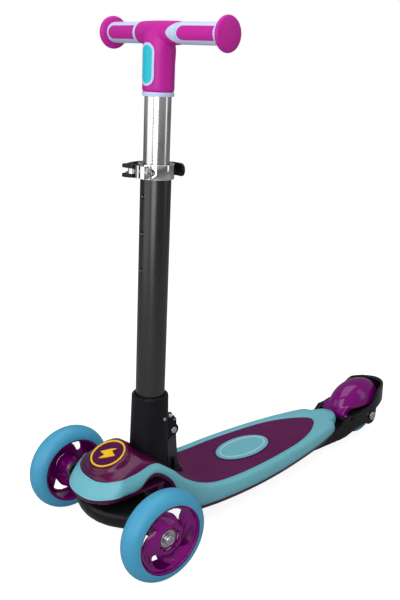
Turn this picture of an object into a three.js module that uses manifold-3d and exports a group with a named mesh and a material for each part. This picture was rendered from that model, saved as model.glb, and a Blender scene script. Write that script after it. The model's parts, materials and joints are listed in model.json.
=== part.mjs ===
// Folding three-wheeled kick scooter for a small child.
// Millimetres, +Z up, +X towards the front wheels, +Y towards the rider's left hand.
// Everything is drawn from the point on the ground below the front axle, and the whole
// group is then moved so that the origin lies below the middle of the scooter.
import * as THREE from 'three';
import { mergeVertices } from 'three/addons/utils/BufferGeometryUtils.js';
import Module from 'manifold-3d';

const wasm = await Module();
wasm.setup();

// ------------------------------------------------------------------ driving dimensions
const GAP = 0.3;                  // between any two touching pieces

const HOOP_BACK = -536;             // rearmost point, measured from the front axle
const WHEEL = { radius: 60, halfWidth: 15.5, seat: 46, track: 214, windows: 4 };
const REAR_WHEEL = { radius: 39, halfWidth: 12, seat: 28, x: -480, z: 39 };
const ORIGIN_TO_FRONT_AXLE = (-HOOP_BACK - WHEEL.radius) / 2;
const BEARING = { radius: 11, bore: 4.2, width: 7 };
const AXLE_RADIUS = 3.9;

const STEM = { rake: 3.13, footX: -52.8 };
const OUTER_TUBE = { radius: 18.8, bore: 16.3, low: 100, top: 484 };
const INNER_TUBE = { radius: 15.9, bore: 14.2, low: 352, top: 615 };
const SLEEVE = { rimRadius: 23.8, baseRadius: 26.4, low: 74, top: 191 };
const HEIGHT_HOLES = { pitch: 45.5, count: 3, highest: 447.5, radius: 3.6 };
const CLAMP = { low: 467.5, top: 486.5, radius: 22, boltX: 22.6, leverRadius: 33.2, turn: 10 };

const PIVOT = { x: -92, z: 132 };           // fold pin
const LATCH = { x: -94.5, z: 146.5 };       // latch pin

const BAR = { s: 634, radius: 8, half: 107 };
const GRIP = { radius: 12.3, inner: 36.5, outer: 102.4, sweep: 5 };
const KNOB = { radius: 19.5, reach: 111.5 };
const HANDLE = { low: 564.5, collar: 3 };

const STEER = { x: 0, z: 58, slope: 60, pin: 6 };   // kingpin axis, slope from the ground
const BRAKE = { pinX: -433, pinZ: 46 };

// ------------------------------------------------------------------------- materials
const paint = (color, roughness, metalness = 0) =>
  new THREE.MeshStandardMaterial({ color, roughness, metalness });
const PAINT = {
  aqua: () => paint(0x7cc6d4, 0.45),
  sky: () => paint(0x4fb0dc, 0.4),
  plum: () => paint(0x4a0d45, 0.3),
  pearl: () => paint(0x6a1058, 0.22),
  mat: () => paint(0x5c1f4e, 0.7),
  magenta: () => paint(0xc3329f, 0.45),
  pale: () => paint(0xc9d8f6, 0.5),
  turquoise: () => paint(0x3ccdd8, 0.4),
  gold: () => paint(0xf2b21c, 0.4),
  violet: () => paint(0x6a0570, 0.2),
  black: () => paint(0x121214, 0.5),
  steel: () => paint(0xb8b8bc, 0.3, 1),
  alloy: () => paint(0xd8d8da, 0.25, 1),
  chrome: () => paint(0xe2e2e4, 0.12, 1),
};

// ------------------------------------------------------------------- geometry helpers
const rad = THREE.MathUtils.degToRad;
const vec = (x, y, z) => new THREE.Vector3(x, y, z);

/** Shared vertices, no slivers of no area, faces pointing out. */
function closed(geometry) {
  const bare = geometry.clone();
  bare.deleteAttribute('normal');
  bare.deleteAttribute('uv');
  const merged = mergeVertices(bare, 1e-4);
  const p = merged.attributes.position;
  const old = merged.index.array;
  const faces = [];
  let volume = 0;
  for (let i = 0; i < old.length; i += 3) {
    const [a, b, c] = [old[i], old[i + 1], old[i + 2]];
    if (a === b || b === c || c === a) continue;
    faces.push(a, b, c);
    const [A, B, C] = [a, b, c].map((k) => vec(p.getX(k), p.getY(k), p.getZ(k)));
    volume += A.dot(B.cross(C));
  }
  if (volume < 0) {
    for (let i = 0; i < faces.length; i += 3) {
      [faces[i], faces[i + 1]] = [faces[i + 1], faces[i]];
    }
  }
  merged.setIndex(faces);
  return merged;
}

/** A three.js geometry as a manifold solid. */
function solid(geometry) {
  const g = closed(geometry);
  return new wasm.Manifold(new wasm.Mesh({
    numProp: 3,
    vertProperties: new Float32Array(g.attributes.position.array),
    triVerts: new Uint32Array(g.index.array),
  }));
}

/** A manifold solid as a three.js geometry. */
function shape(body) {
  const mesh = body.getMesh();
  const g = new THREE.BufferGeometry();
  g.setAttribute('position', new THREE.BufferAttribute(new Float32Array(mesh.vertProperties), 3));
  g.setIndex(Array.from(mesh.triVerts));
  return g;
}

const join = (...parts) => shape(parts.map(solid).reduce((a, b) => a.add(b)));
const cut = (body, ...tools) =>
  shape(tools.map(solid).reduce((a, b) => a.subtract(b), solid(body)));
const common = (a, b) => shape(solid(a).intersect(solid(b)));

/** Skin over a row of rings with equally many points, capped or closed on itself. */
function loft(rings, ringed = false) {
  const n = rings[0].length;
  const positions = rings.flat().flatMap((q) => [q.x, q.y, q.z]);
  const faces = [];
  const rows = ringed ? rings.length : rings.length - 1;
  for (let i = 0; i < rows; i += 1) {
    const a = i * n;
    const b = ((i + 1) % rings.length) * n;
    for (let j = 0; j < n; j += 1) {
      const k = (j + 1) % n;
      faces.push(a + j, a + k, b + k, a + j, b + k, b + j);
    }
  }
  if (!ringed) {
    for (const [start, flip] of [[0, true], [(rings.length - 1) * n, false]]) {
      const centre = positions.length / 3;
      const mid = rings[start / n].reduce((s, q) => s.add(q), vec(0, 0, 0)).divideScalar(n);
      positions.push(mid.x, mid.y, mid.z);
      for (let j = 0; j < n; j += 1) {
        const k = (j + 1) % n;
        faces.push(centre, start + (flip ? k : j), start + (flip ? j : k));
      }
    }
  }
  const g = new THREE.BufferGeometry();
  g.setAttribute('position', new THREE.Float32BufferAttribute(positions, 3));
  g.setIndex(faces);
  return g;
}

/** Solid or ring of revolution about Z from (radius, height) pairs. */
function turned(profile, sides) {
  const first = profile[0];
  const last = profile[profile.length - 1];
  const points = profile.map(([r, z]) => new THREE.Vector2(r, z));
  if (first[0] > 0 || last[0] > 0) points.push(points[0].clone());
  return new THREE.LatheGeometry(points, sides).rotateX(Math.PI / 2);
}

const rod = (radius, low, high, sides = 16) =>
  turned([[0, low], [radius, low], [radius, high], [0, high]], sides);
const ring = (radius, bore, low, high, sides = 24) =>
  turned([[bore, low], [radius, low], [radius, high], [bore, high]], sides);

/** Turn a shape drawn along Z so that it lies along Y. */
const acrossY = (g) => g.rotateX(-Math.PI / 2);

const block = (x0, x1, y0, y1, z0, z1) =>
  new THREE.BoxGeometry(x1 - x0, y1 - y0, z1 - z0)
    .translate((x0 + x1) / 2, (y0 + y1) / 2, (z0 + z1) / 2);

/** Prism with its outline in the XZ plane, from y0 to y1. */
function prismY(draw, y0, y1, curveSegments = 8) {
  const outline = new THREE.Shape();
  draw(outline);
  return new THREE.ExtrudeGeometry(outline, { depth: y1 - y0, bevelEnabled: false, curveSegments })
    .rotateX(Math.PI / 2).translate(0, y1, 0);
}

/** Prism with its outline in the XY plane, from z0 to z1. */
function prismZ(draw, z0, z1, curveSegments = 8) {
  const outline = new THREE.Shape();
  draw(outline);
  return new THREE.ExtrudeGeometry(outline, { depth: z1 - z0, bevelEnabled: false, curveSegments })
    .translate(0, 0, z0);
}

/** Coil of round wire about Z. */
function coil(radius, wire, low, high, turns, steps = 12, sides = 6) {
  const rings = [];
  const count = Math.round(turns * steps);
  for (let i = 0; i <= count; i += 1) {
    const angle = (i / steps) * 2 * Math.PI;
    const z = low + ((high - low) * i) / count;
    const out = vec(Math.cos(angle), Math.sin(angle), 0);
    rings.push(Array.from({ length: sides }, (_, k) => {
      const turn = (k / sides) * 2 * Math.PI;
      return out.clone().multiplyScalar(radius + wire * Math.cos(turn))
        .add(vec(0, 0, z + wire * Math.sin(turn)));
    }));
  }
  return loft(rings);
}

/** Linear reading of a height or width from a short list of (x, value) pairs. */
function read(table, x) {
  const inner = table.findIndex(([at]) => at <= x);
  if (inner <= 0) return table[inner === 0 ? 0 : table.length - 1][1];
  const [x1, v1] = table[inner - 1];
  const [x0, v0] = table[inner];
  const t = (x - x0) / (x1 - x0);
  return v0 + (v1 - v0) * t;
}

// ---------------------------------------------------------------------- scene groups
const scooter = new THREE.Group();
scooter.position.x = ORIGIN_TO_FRONT_AXLE;
const stem = new THREE.Group();
stem.position.x = STEM.footX;
stem.rotation.y = -rad(STEM.rake);
scooter.add(stem);

/** One named piece. */
function piece(name, geometry, material, parent = scooter) {
  const mesh = new THREE.Mesh(closed(geometry), material);
  mesh.name = name;
  parent.add(mesh);
  return mesh;
}

/** A point of the scooter's frame as (forward, up) in the stem's frame. */
function inStem({ x, z }) {
  const p = vec(x - STEM.footX, 0, z).applyAxisAngle(vec(0, 1, 0), rad(STEM.rake));
  return { x: p.x, z: p.z };
}

// ---------------------------------------------------------------- rim and deck outline
// Half of the outline, from the tip of the nose to the tail. Each station holds the
// band's lower edge, its upper edge and the edge of the panel that it frames.
const STATIONS = [
  // lower edge         upper edge        panel edge
  [[46, 0, 86.5], [31, 0, 104], [29.5, 0, 105]],
  [[46, 24, 87], [31, 20, 104.5], [29.5, 19.5, 105.5]],
  [[41.5, 39, 89], [27.5, 34.5, 107], [26.5, 33.5, 108]],
  [[29.5, 47.5, 90.5], [17, 43, 109.5], [16.5, 42, 110]],
  [[10, 49, 91], [2, 44, 110.5], [2, 43, 111]],
  [[-4, 49, 91], [-10, 44.5, 112], [-10, 43.5, 112.5]],
  [[-12, 49, 94], [-19, 45, 114.5], [-19, 44, 115]],
  [[-20, 49, 101], [-28, 45, 116.5], [-28, 44, 117]],
  [[-31, 49, 105.5], [-40, 45, 114.5], [-40, 44, 115]],
  [[-43, 49.5, 101], [-52, 46, 106.5], [-52, 44.5, 106]],
  [[-58, 51, 87], [-65, 47.5, 96], [-65, 44.5, 95]],
  [[-67, 52.5, 68], [-77, 50, 83.5], [-77, 44, 82.5]],
  [[-78, 55, 47], [-92, 53, 72.5], [-92, 45, 71.5]],
  [[-94, 58.5, 37], [-110, 56, 63.5], [-110, 47, 62.5]],
  [[-118, 60.5, 34], [-130, 58, 57.5], [-130, 48.5, 56.5]],
  [[-158, 62.5, 33], [-160, 60, 54.5], [-160, 50, 53.5]],
  [[-205, 62.5, 33], [-205, 60, 54], [-205, 50.5, 53]],
  [[-256, 59.5, 34], [-256, 57, 54], [-256, 47, 53]],
  [[-311, 53, 36], [-311, 50.5, 54], [-311, 39, 53]],
  [[-352, 45.5, 37], [-351, 43, 54], [-347, 26, 53]],
  [[-394, 33, 38.5], [-392, 31, 54], [-366, 14, 53]],
  [[-401, 24, 38.5], [-398, 22, 54], [-372, 9, 53]],
  [[-419, 13, 38.5], [-416, 12, 54], [-375, 4, 53]],
  [[-424, 0, 38.5], [-421, 0, 54], [-376, 0, 53]],
];
const BAND_WALL = 3.6;
const EDGE_STEPS = 28;

/** Points along one of the three edges, from nose to tail, on the left side. */
function edge(which) {
  const points = STATIONS.map((station) => vec(...station[which]));
  return new THREE.CatmullRomCurve3(points, false, 'centripetal').getPoints(EDGE_STEPS);
}
/** The same stretch carried on round the right side, for a ring. */
function bothSides(points) {
  const right = points.slice(1, -1).reverse().map((q) => vec(q.x, -q.y, q.z));
  return [...points, ...right];
}
const LOWER = bothSides(edge(0));
const UPPER = bothSides(edge(1));
const PANEL = bothSides(edge(2));

/** Unit vector in plan from a lower edge point towards the inside of the deck. */
function inward(points, i) {
  const before = points[(i + points.length - 1) % points.length];
  const after = points[(i + 1) % points.length];
  const along = after.clone().sub(before).setZ(0).normalize();
  return vec(along.y, -along.x, 0);
}
const INWARD = LOWER.map((_, i) => {
  const way = inward(LOWER, i);
  return way.dot(vec(-200 - LOWER[i].x, -LOWER[i].y, 0)) < 0 ? way.negate() : way;
});

function makeRim() {
  const rings = LOWER.map((low, i) => {
    const top = UPPER[i];
    const lip = PANEL[i];
    const way = INWARD[i];
    const bulge = low.clone().lerp(top, 0.55).addScaledVector(way, -1.6);
    return [
      low,
      bulge,
      top,
      lip,
      lip.clone().add(vec(0, 0, -4)),
      top.clone().addScaledVector(way, BAND_WALL).add(vec(0, 0, -4.5)),
      low.clone().addScaledVector(way, BAND_WALL),
    ];
  });
  return loft(rings, true);
}

// ---------------------------------------------------------------------------- the deck
const DECK = { under: 36, pocketTop: 44, floorTop: 48.2, lip: 5.5, wall: 3.4 };
const MAT = { thick: 3.6, front: -79, tip: -374.5 };
const BADGE = { x: -228, half: 46, halfWidth: 26.5, thick: 1.6 };
const DOME_ROOM = -398;          // nothing of the deck's floor behind this

/** Frame of the kingpin: Z along the pin, origin on the front axle's height. */
const onKingpin = (g) =>
  g.rotateY(Math.PI / 2 - rad(STEER.slope)).translate(STEER.x, 0, STEER.z);

/** Room kept free for the band and its inner lip. */
function bandRoom() {
  return loft(LOWER.map((low, i) => {
    const top = UPPER[i];
    const way = INWARD[i];
    const lip = PANEL[i].clone().addScaledVector(way, GAP);
    const wall = BAND_WALL + GAP;
    return [
      low.clone().addScaledVector(way, -3).add(vec(0, 0, -0.1)),
      top.clone().addScaledVector(way, -3).add(vec(0, 0, 6)),
      lip.clone().add(vec(0, 0, 6)),
      lip.clone().add(vec(0, 0, -4 - GAP)),
      top.clone().addScaledVector(way, wall).add(vec(0, 0, -4.5 - GAP)),
      low.clone().addScaledVector(way, wall).add(vec(0, 0, -0.1)),
    ];
  }), true);
}

function makeDeckBase() {
  const lip = loft(LOWER.map((low, i) => {
    const way = INWARD[i];
    const outer = low.clone().addScaledVector(way, 0.6).add(vec(0, 0, -GAP));
    return [
      outer,
      outer.clone().addScaledVector(way, 2.2).add(vec(0, 0, -DECK.lip)),
      outer.clone().addScaledVector(way, 2.2 + DECK.wall).add(vec(0, 0, -DECK.lip)),
      outer.clone().addScaledVector(way, 3 + DECK.wall),
    ];
  }), true);
  const halfWidth = STATIONS.map(([low]) => [low[0], low[1] - BAND_WALL - 1.6]);
  const plan = (x0, x1, steps) => (outline) => {
    const xs = Array.from({ length: steps + 1 }, (_, i) => x0 + ((x1 - x0) * i) / steps);
    outline.moveTo(xs[0], -read(halfWidth, xs[0]));
    xs.slice(1).forEach((x) => outline.lineTo(x, -read(halfWidth, x)));
    xs.reverse().forEach((x) => outline.lineTo(x, read(halfWidth, x)));
  };
  const floor = prismZ(plan(-92, DOME_ROOM, 14), DECK.under, DECK.floorTop);
  const pockets = [-124, -172, -220, -268].flatMap((x) => [1, -1].map((side) => {
    const far = read(halfWidth, x - 42) - 8;
    return block(x - 42, x, Math.min(side * 4, side * far), Math.max(side * 4, side * far),
      20, DECK.pocketTop);
  }));
  const ramp = prismY((outline) => {
    outline.moveTo(-90, 40);
    outline.lineTo(-90, 65);
    outline.lineTo(-112, 55.5);
    outline.lineTo(-138, 49.5);
    outline.lineTo(-160, 40);
  }, -40, 40);
  const neck = block(-92, -52, -34, 34, DECK.under, 62);
  const pedestal = block(-105.5, -52, -12.5, 12.5, DECK.under + 4, 68);
  const nosePlate = prismZ(plan(26, -50, 6), 82.5, 86);
  const bridge = block(-53.5, -45, -38, 38, 50, 86);
  const boss = onKingpin(rod(13.2, 21, 38, 20));
  const bore = onKingpin(rod(STEER.pin + GAP, -40, 80, 20));
  return cut(
    join(lip, cut(floor, ...pockets), ramp, neck, pedestal, nosePlate, bridge, boss),
    bore,
    bandRoom(),
    block(-440, -380, -29.5, 29.5, 0, 36.3),
  );
}

const PANEL_HALF = edge(2).map((q) => [q.x, q.y]);
const PANEL_HEIGHT = edge(2).map((q) => [q.x, q.z]);

/** Cross-section of a panel: a shallow vaulted strip between two edges. */
function strip(x, half, rim, rise, thick, points = 12) {
  const across = (i) => -half + (2 * half * i) / points;
  const height = (y) => rim + rise * Math.max(0, 1 - (y / half) ** 2) ** 0.75;
  const top = Array.from({ length: points + 1 }, (_, i) => vec(x, across(i), height(across(i))));
  const low = top.map((q) => vec(q.x, q.y, q.z - thick)).reverse();
  return [...top, ...low];
}

function makeMat() {
  const xs = [-79, -86, -94, -104, -116, -130, -160, -205, -256, -300, -330, -350, -362, -370, -374];
  const body = loft(xs.map((x) => {
    const half = read(PANEL_HALF, x) - 0.6;
    const taper = x < -362 ? Math.sqrt(Math.max(0.02, (x - MAT.tip) / (-362 - MAT.tip))) : 1;
    return strip(x, Math.max(half * taper, 1.5), read(PANEL_HEIGHT, x) - 0.2, 1, MAT.thick);
  }));
  const bed = makeBadge(BADGE.half + 0.6, BADGE.halfWidth + 0.6, 53.2, 60);
  const hinge = block(-109, -70, -13.5, 13.5, 40, 100);
  return cut(body, bed, hinge, folded(sleeveRoom(1), 0));
}

function makeBadge(half, halfWidth, low, high) {
  return prismZ((outline) => {
    outline.absellipse(BADGE.x, 0, half, halfWidth, 0, 2 * Math.PI, false, 0);
  }, low, high, 20);
}

// ------------------------------------------------------------------------------- nose
const NOSE = {
  // forward position, height of the middle line
  ridge: [[30, 103.5], [28.5, 108], [24.5, 114.5], [16, 120], [5, 125.6], [-6, 131.2], [-15, 135.6],
    [-21, 133], [-30, 125.5], [-42, 117.5], [-52, 110], [-62, 101], [-75, 85]],
  wall: 3,
};
const EMBLEM = { x: 5, z: 127, tilt: 21, radius: 24, thick: 2.4 };

/** Frame of the emblem: Z out of the nose, origin on the disc's face. */
const onEmblem = (g) => g.rotateY(rad(EMBLEM.tilt)).translate(EMBLEM.x, 0, EMBLEM.z);

/** Sleeve's outer shape, used as the room that it needs while it folds. */
const sleeveRoom = (extra) => turned([
  [0, SLEEVE.low - 12],
  [SLEEVE.baseRadius + extra, SLEEVE.low - 12],
  [SLEEVE.rimRadius + extra, SLEEVE.top],
  [0, SLEEVE.top],
], 20);

/** Moves a shape drawn in the stem's frame into the scooter's frame, folded by an angle. */
function folded(geometry, angle) {
  const place = new THREE.Matrix4().makeRotationY(-rad(STEM.rake))
    .setPosition(STEM.footX, 0, 0);
  const turn = new THREE.Matrix4().makeTranslation(PIVOT.x, 0, PIVOT.z)
    .multiply(new THREE.Matrix4().makeRotationY(-rad(angle)))
    .multiply(new THREE.Matrix4().makeTranslation(-PIVOT.x, 0, -PIVOT.z));
  return geometry.applyMatrix4(turn.multiply(place));
}

/** Slanted foot of the sleeve: everything below a line that falls towards the back. */
function sleeveFoot(drop) {
  const front = inStem({ x: -22, z: 126 - drop });
  const back = inStem({ x: -84, z: 77 - drop });
  return prismY((outline) => {
    outline.moveTo(front.x + 30, front.z + 24);
    outline.lineTo(back.x - 30, back.z - 24);
    outline.lineTo(back.x - 30, -60);
    outline.lineTo(front.x + 30, -60);
  }, -40, 40);
}

function makeNoseCover() {
  const xs = [29, 27.5, 24, 15, 5, -6, -15, -21, -30, -42, -52, -62, -75];
  const body = loft(xs.map((x) => {
    const half = Math.max(read(PANEL_HALF, x) - 1.2, 3);
    const rim = read(PANEL_HEIGHT, x) - 0.4;
    return strip(x, half, rim, Math.max(read(NOSE.ridge, x) - rim, 0.5), NOSE.wall, 14);
  }));
  const rooms = [0, 12, 24, 36, 48].map((angle) =>
    folded(cut(sleeveRoom(GAP * 3), sleeveFoot(1)), angle));
  const seat = onEmblem(rod(EMBLEM.radius + GAP, -EMBLEM.thick - GAP, 20, 28));
  const pad = onEmblem(rod(EMBLEM.radius + 2.2, -EMBLEM.thick - 3, -1.1, 28));
  const hinge = block(-110, -76, -16, 16, 60, 160);
  const nutRoom = onKingpin(rod(STEER.pin + 7, 30, 47, 16));
  return cut(join(body, pad), seat, nutRoom, hinge, ...rooms);
}

function makeEmblem() {
  const disc = rod(EMBLEM.radius, -EMBLEM.thick, -0.8, 28);
  const border = ring(EMBLEM.radius, EMBLEM.radius - 3, -0.9, 0, 28);
  const bolt = prismZ((outline) => {
    outline.moveTo(-4, 13);
    outline.lineTo(-6, 2);
    outline.lineTo(-14, 5);
    outline.lineTo(4, -14);
    outline.lineTo(5, -3);
    outline.lineTo(14, -5);
  }, -0.9, 0);
  return onEmblem(join(disc, border, bolt));
}

piece('deck_rim', makeRim(), PAINT.aqua());
piece('deck_base', makeDeckBase(), PAINT.plum());
piece('deck_mat', makeMat(), PAINT.mat());
piece('deck_badge', makeBadge(BADGE.half, BADGE.halfWidth, 53.5, 55.1), PAINT.aqua());
piece('nose_cover', makeNoseCover(), PAINT.pearl());
piece('nose_emblem', makeEmblem(), PAINT.gold());

// ------------------------------------------------------------------ fold hinge bracket
const TONGUE = { half: 6.8, round: 7.6, pinHole: 3.3 };

function makeBracket() {
  const tongue = prismY((outline) => {
    outline.moveTo(-105, 69);
    outline.quadraticCurveTo(-100.5, 84, PIVOT.x - TONGUE.round, PIVOT.z);
    outline.absarc(PIVOT.x, PIVOT.z, TONGUE.round, Math.PI, 0, true);
    outline.lineTo(-85.8, 100);
    outline.lineTo(-85.5, 69);
  }, -TONGUE.half, TONGUE.half);
  const foot = block(-105.5, -54, -12.5, 12.5, 68.3, 71.8);
  const gussets = [-1, 1].map((side) => prismY((outline) => {
    outline.moveTo(-104, 70);
    outline.lineTo(-97, 88);
    outline.lineTo(-93, 88);
    outline.lineTo(-93, 70);
  }, side * 9 - 2.5, side * 9 + 2.5));
  const pin = acrossY(rod(TONGUE.pinHole, -40, 40, 16)).translate(PIVOT.x, 0, PIVOT.z);
  return cut(join(tongue, foot, ...gussets), pin);
}
piece('stem_bracket', makeBracket(), PAINT.black());

// ---------------------------------------------------------------------- steering truck
const TRUCK = { half: 87.5, sides: 14 };

/** Sections across the truck: half length, top and bottom at each width. */
const TRUCK_SECTIONS = [
  // y, front, back, top, bottom
  [0, 41, -38, 73, 38],
  [16, 39.5, -37, 73, 38.5],
  [32, 35, -32, 72.5, 40.5],
  [48, 27, -26, 72, 43.5],
  [62, 19, -19, 71.5, 46.5],
  [76, 13.5, -13.5, 71, 48.5],
  [TRUCK.half, 11.5, -11.5, 71, 49],
];

function makeTruck() {
  const all = [
    ...TRUCK_SECTIONS.slice(1).reverse().map(([y, ...rest]) => [-y, ...rest]),
    ...TRUCK_SECTIONS,
  ];
  const rings = all.map(([y, front, back, top, bottom]) => {
    const middle = (top + bottom) / 2 + 2.5;
    return Array.from({ length: TRUCK.sides }, (_, k) => {
      const turn = (k / TRUCK.sides) * 2 * Math.PI;
      const c = Math.cos(turn);
      const s = Math.sin(turn);
      const soft = (v) => Math.sign(v) * Math.abs(v) ** 0.72;
      const x = (front + back) / 2 + ((front - back) / 2) * soft(c);
      const z = middle + (s > 0 ? (top - middle) * soft(s) : (middle - bottom) * Math.abs(s) ** 0.9 * -1);
      return vec(x, y, z);
    });
  });
  const hull = loft(rings);
  const bore = onKingpin(rod(STEER.pin + GAP, -60, 60, 20));
  const springWell = onKingpin(rod(13.8, 1.5, 60, 20));
  const headWell = onKingpin(rod(10.8, -60, -14.5, 20));
  const axles = [-1, 1].map((side) =>
    acrossY(rod(AXLE_RADIUS + GAP, 0, 45, 16)).translate(0, side > 0 ? 50 : -95, WHEEL.radius));
  return cut(hull, bore, springWell, headWell, ...axles);
}
piece('truck_beam', makeTruck(), PAINT.black());
piece('kingpin', onKingpin(turned([
  [0, -20], [9.8, -20], [9.8, -14.8], [STEER.pin, -14.8], [STEER.pin, 44], [0, 44],
], 20)), PAINT.steel());
piece('kingpin_nut', onKingpin(cut(
  rod(10, 38.4, 43.4, 6),
  rod(STEER.pin + GAP, 30, 60, 20),
)), PAINT.steel());
piece('steering_spring', onKingpin(coil(10.3, 1.5, 3.4, 18.6, 3, 10, 5)), PAINT.steel());

// ---------------------------------------------------------------------------- wheels
/** Tyre about Y: flat seat inside, full round tread outside. */
function makeTyre({ radius, halfWidth, seat }, sides) {
  const crown = radius - halfWidth * 0.92;
  const arc = Array.from({ length: 6 }, (_, i) => {
    const turn = Math.PI / 2 - (Math.PI * i) / 5;
    return [crown + halfWidth * 0.92 * Math.cos(turn), halfWidth * Math.sin(turn)];
  });
  const profile = [[seat, halfWidth - 1.8], ...arc, [seat, -halfWidth + 1.8]];
  return acrossY(turned(profile.reverse(), sides));
}

/** Hub about Y: outer ring, dished web with curved windows, bearing barrel. */
function makeHub({ seat, halfWidth, windows = 0 }, sides, hand) {
  const rim = seat - GAP;
  const face = halfWidth - 1.4;
  const barrel = BEARING.radius + 3.6;
  const bore = BEARING.radius + GAP;
  const profile = [
    [bore, -face + 2.5],
    [barrel, -face + 2.5],
    [rim - 5, face - 6],
    [rim - 4, -face],
    [rim, -face],
    [rim, face],
    [rim - 3, face],
    [barrel + 8, 5.4],
    [barrel + 1, face - 5],
    [bore, face - 3.5],
    [bore, 2.5],
    [AXLE_RADIUS + 3.4, 2.5],
    [AXLE_RADIUS + 3.4, -2.5],
    [bore, -2.5],
  ].map(([r, y]) => [r, hand * y]);
  const disc = acrossY(turned(profile, sides));
  const openings = Array.from({ length: windows }, (_, i) => {
    const window = prismZ((outline) => {
      const [r0, r1] = [22.5, rim - 5.2];
      outline.moveTo(r1 * Math.cos(0.62), -r1 * Math.sin(0.62));
      outline.absarc(0, 0, r1, -0.62, 0.5, false);
      outline.quadraticCurveTo(31, 10, r0 + 1, 7);
      outline.quadraticCurveTo(r0 + 1, -11, r1 * Math.cos(0.62), -r1 * Math.sin(0.62));
    }, -20, 20, 3);
    const turn = hand * (0.35 + (2 * Math.PI * i) / windows);
    return acrossY(hand > 0 ? window.rotateZ(turn) : window.rotateY(Math.PI).rotateZ(turn));
  });
  return openings.length ? cut(disc, ...openings) : disc;
}

const bearing = (y0) => acrossY(ring(BEARING.radius, BEARING.bore, y0, y0 + BEARING.width, 16));

for (const [side, y] of [['left', 1], ['right', -1]]) {
  const centre = vec(0, (y * WHEEL.track) / 2, WHEEL.radius);
  const put = (name, geometry, material) => {
    piece(name, geometry, material).position.copy(centre);
  };
  put(`front_tyre_${side}`, makeTyre(WHEEL, 32), PAINT.sky());
  put(`front_hub_${side}`, makeHub(WHEEL, 24, y), PAINT.violet());
  put(`bearing_outer_${side}`, bearing(y > 0 ? 2.9 : -9.9), PAINT.steel());
  put(`bearing_inner_${side}`, bearing(y > 0 ? -9.9 : 2.9), PAINT.steel());
  const bolt = turned([
    [0, -45], [AXLE_RADIUS, -45], [AXLE_RADIUS, 10.3], [6.6, 10.3], [6.6, 14.4],
    [5.8, 15], [3.2, 15], [2.8, 12], [0, 12],
  ], 16);
  const spacer = ring(8, AXLE_RADIUS + GAP, -19.1, -10.3, 16);
  const turn = (g) => (y > 0 ? acrossY(g) : acrossY(g).rotateZ(Math.PI));
  put(`axle_bolt_${side}`, turn(bolt), PAINT.steel());
  put(`axle_spacer_${side}`, turn(spacer), PAINT.steel());
}

// -------------------------------------------------------------------- rear fork, wheel
const FORK = { inner: 14.6, outer: 35.5 };
const atRearAxle = (g) => g.translate(REAR_WHEEL.x, 0, REAR_WHEEL.z);

function makeFork() {
  const cheek = (outline) => {
    outline.moveTo(-322, 30);
    outline.quadraticCurveTo(-335, 21, -360, 18.5);
    outline.lineTo(-415, 17);
    outline.lineTo(REAR_WHEEL.x + 26, REAR_WHEEL.z - 14);
    outline.lineTo(REAR_WHEEL.x + 13, REAR_WHEEL.z - 12);
    outline.absarc(REAR_WHEEL.x, REAR_WHEEL.z, 15.5, -0.9, -2.6, true);
    outline.quadraticCurveTo(-503, 48, -520, 52);
    outline.quadraticCurveTo(HOOP_BACK + 1, 57, HOOP_BACK, 65);
    outline.lineTo(HOOP_BACK, 72);
    outline.quadraticCurveTo(HOOP_BACK + 1, 79, -524, 78.5);
    outline.quadraticCurveTo(-505, 71, -488, 58);
    outline.lineTo(-445, 50.8);
    outline.lineTo(-429, 50.8);
    outline.lineTo(-410, 35.5);
    outline.lineTo(-322, 35.5);
  };
  const slab = prismY(cheek, -FORK.outer, FORK.outer, 5);
  const plan = prismZ((outline) => {
    outline.moveTo(-322, -25);
    outline.lineTo(-395, -28);
    outline.quadraticCurveTo(-430, -37, -470, -36);
    outline.lineTo(-496, -35.5);
    outline.bezierCurveTo(-524, -33, HOOP_BACK, -20, HOOP_BACK, 0);
    outline.bezierCurveTo(HOOP_BACK, 20, -524, 33, -496, 35.5);
    outline.lineTo(-470, 36);
    outline.quadraticCurveTo(-430, 37, -395, 28);
    outline.lineTo(-322, 25);
  }, 0, 110, 6);
  const tyreRoom = acrossY(rod(REAR_WHEEL.radius + 3.5, -FORK.inner, FORK.inner, 28));
  const domeRoom = prismZ((outline) => {
    outline.moveTo(-424, -30);
    outline.lineTo(-494, -29.5);
    outline.bezierCurveTo(-518, -28, -528.5, -17, -528.5, 0);
    outline.bezierCurveTo(-528.5, 17, -518, 28, -494, 29.5);
    outline.lineTo(-424, 30);
  }, 51, 120, 6);
  const axle = acrossY(rod(AXLE_RADIUS + GAP, -60, 60, 16));
  const pin = acrossY(rod(2.8, -60, 60, 16)).translate(BRAKE.pinX, 0, BRAKE.pinZ);
  const hingeRoom = block(-448, -380, -26.5, 26.5, 35.7, 60);
  return cut(common(slab, plan), atRearAxle(tyreRoom), domeRoom, atRearAxle(axle), pin, hingeRoom);
}
piece('rear_fork', makeFork(), PAINT.black());

piece('rear_tyre', atRearAxle(makeTyre(REAR_WHEEL, 24)), PAINT.sky());
piece('rear_hub', atRearAxle(makeHub(REAR_WHEEL, 16, 1)), PAINT.violet());
piece('rear_bearing_left', atRearAxle(bearing(2.9)), PAINT.steel());
piece('rear_bearing_right', atRearAxle(bearing(-9.9)), PAINT.steel());
piece('rear_axle', atRearAxle(acrossY(turned([
  [0, -44], [AXLE_RADIUS, -44], [AXLE_RADIUS, 36.6], [6.6, 36.6], [6.6, 40.4], [3.2, 40.4],
  [2.8, 38], [0, 38],
], 16))), PAINT.steel());
piece('rear_axle_nut', atRearAxle(acrossY(ring(7.6, AXLE_RADIUS + GAP * 1.6, -42.5, -36.6, 12))), PAINT.steel());
for (const [side, y0] of [['left', 10.3], ['right', -14.2]]) {
  piece(`rear_spacer_${side}`, atRearAxle(acrossY(
    ring(7, AXLE_RADIUS + GAP, y0, y0 + 3.9, 16),
  )), PAINT.steel());
}

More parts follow.
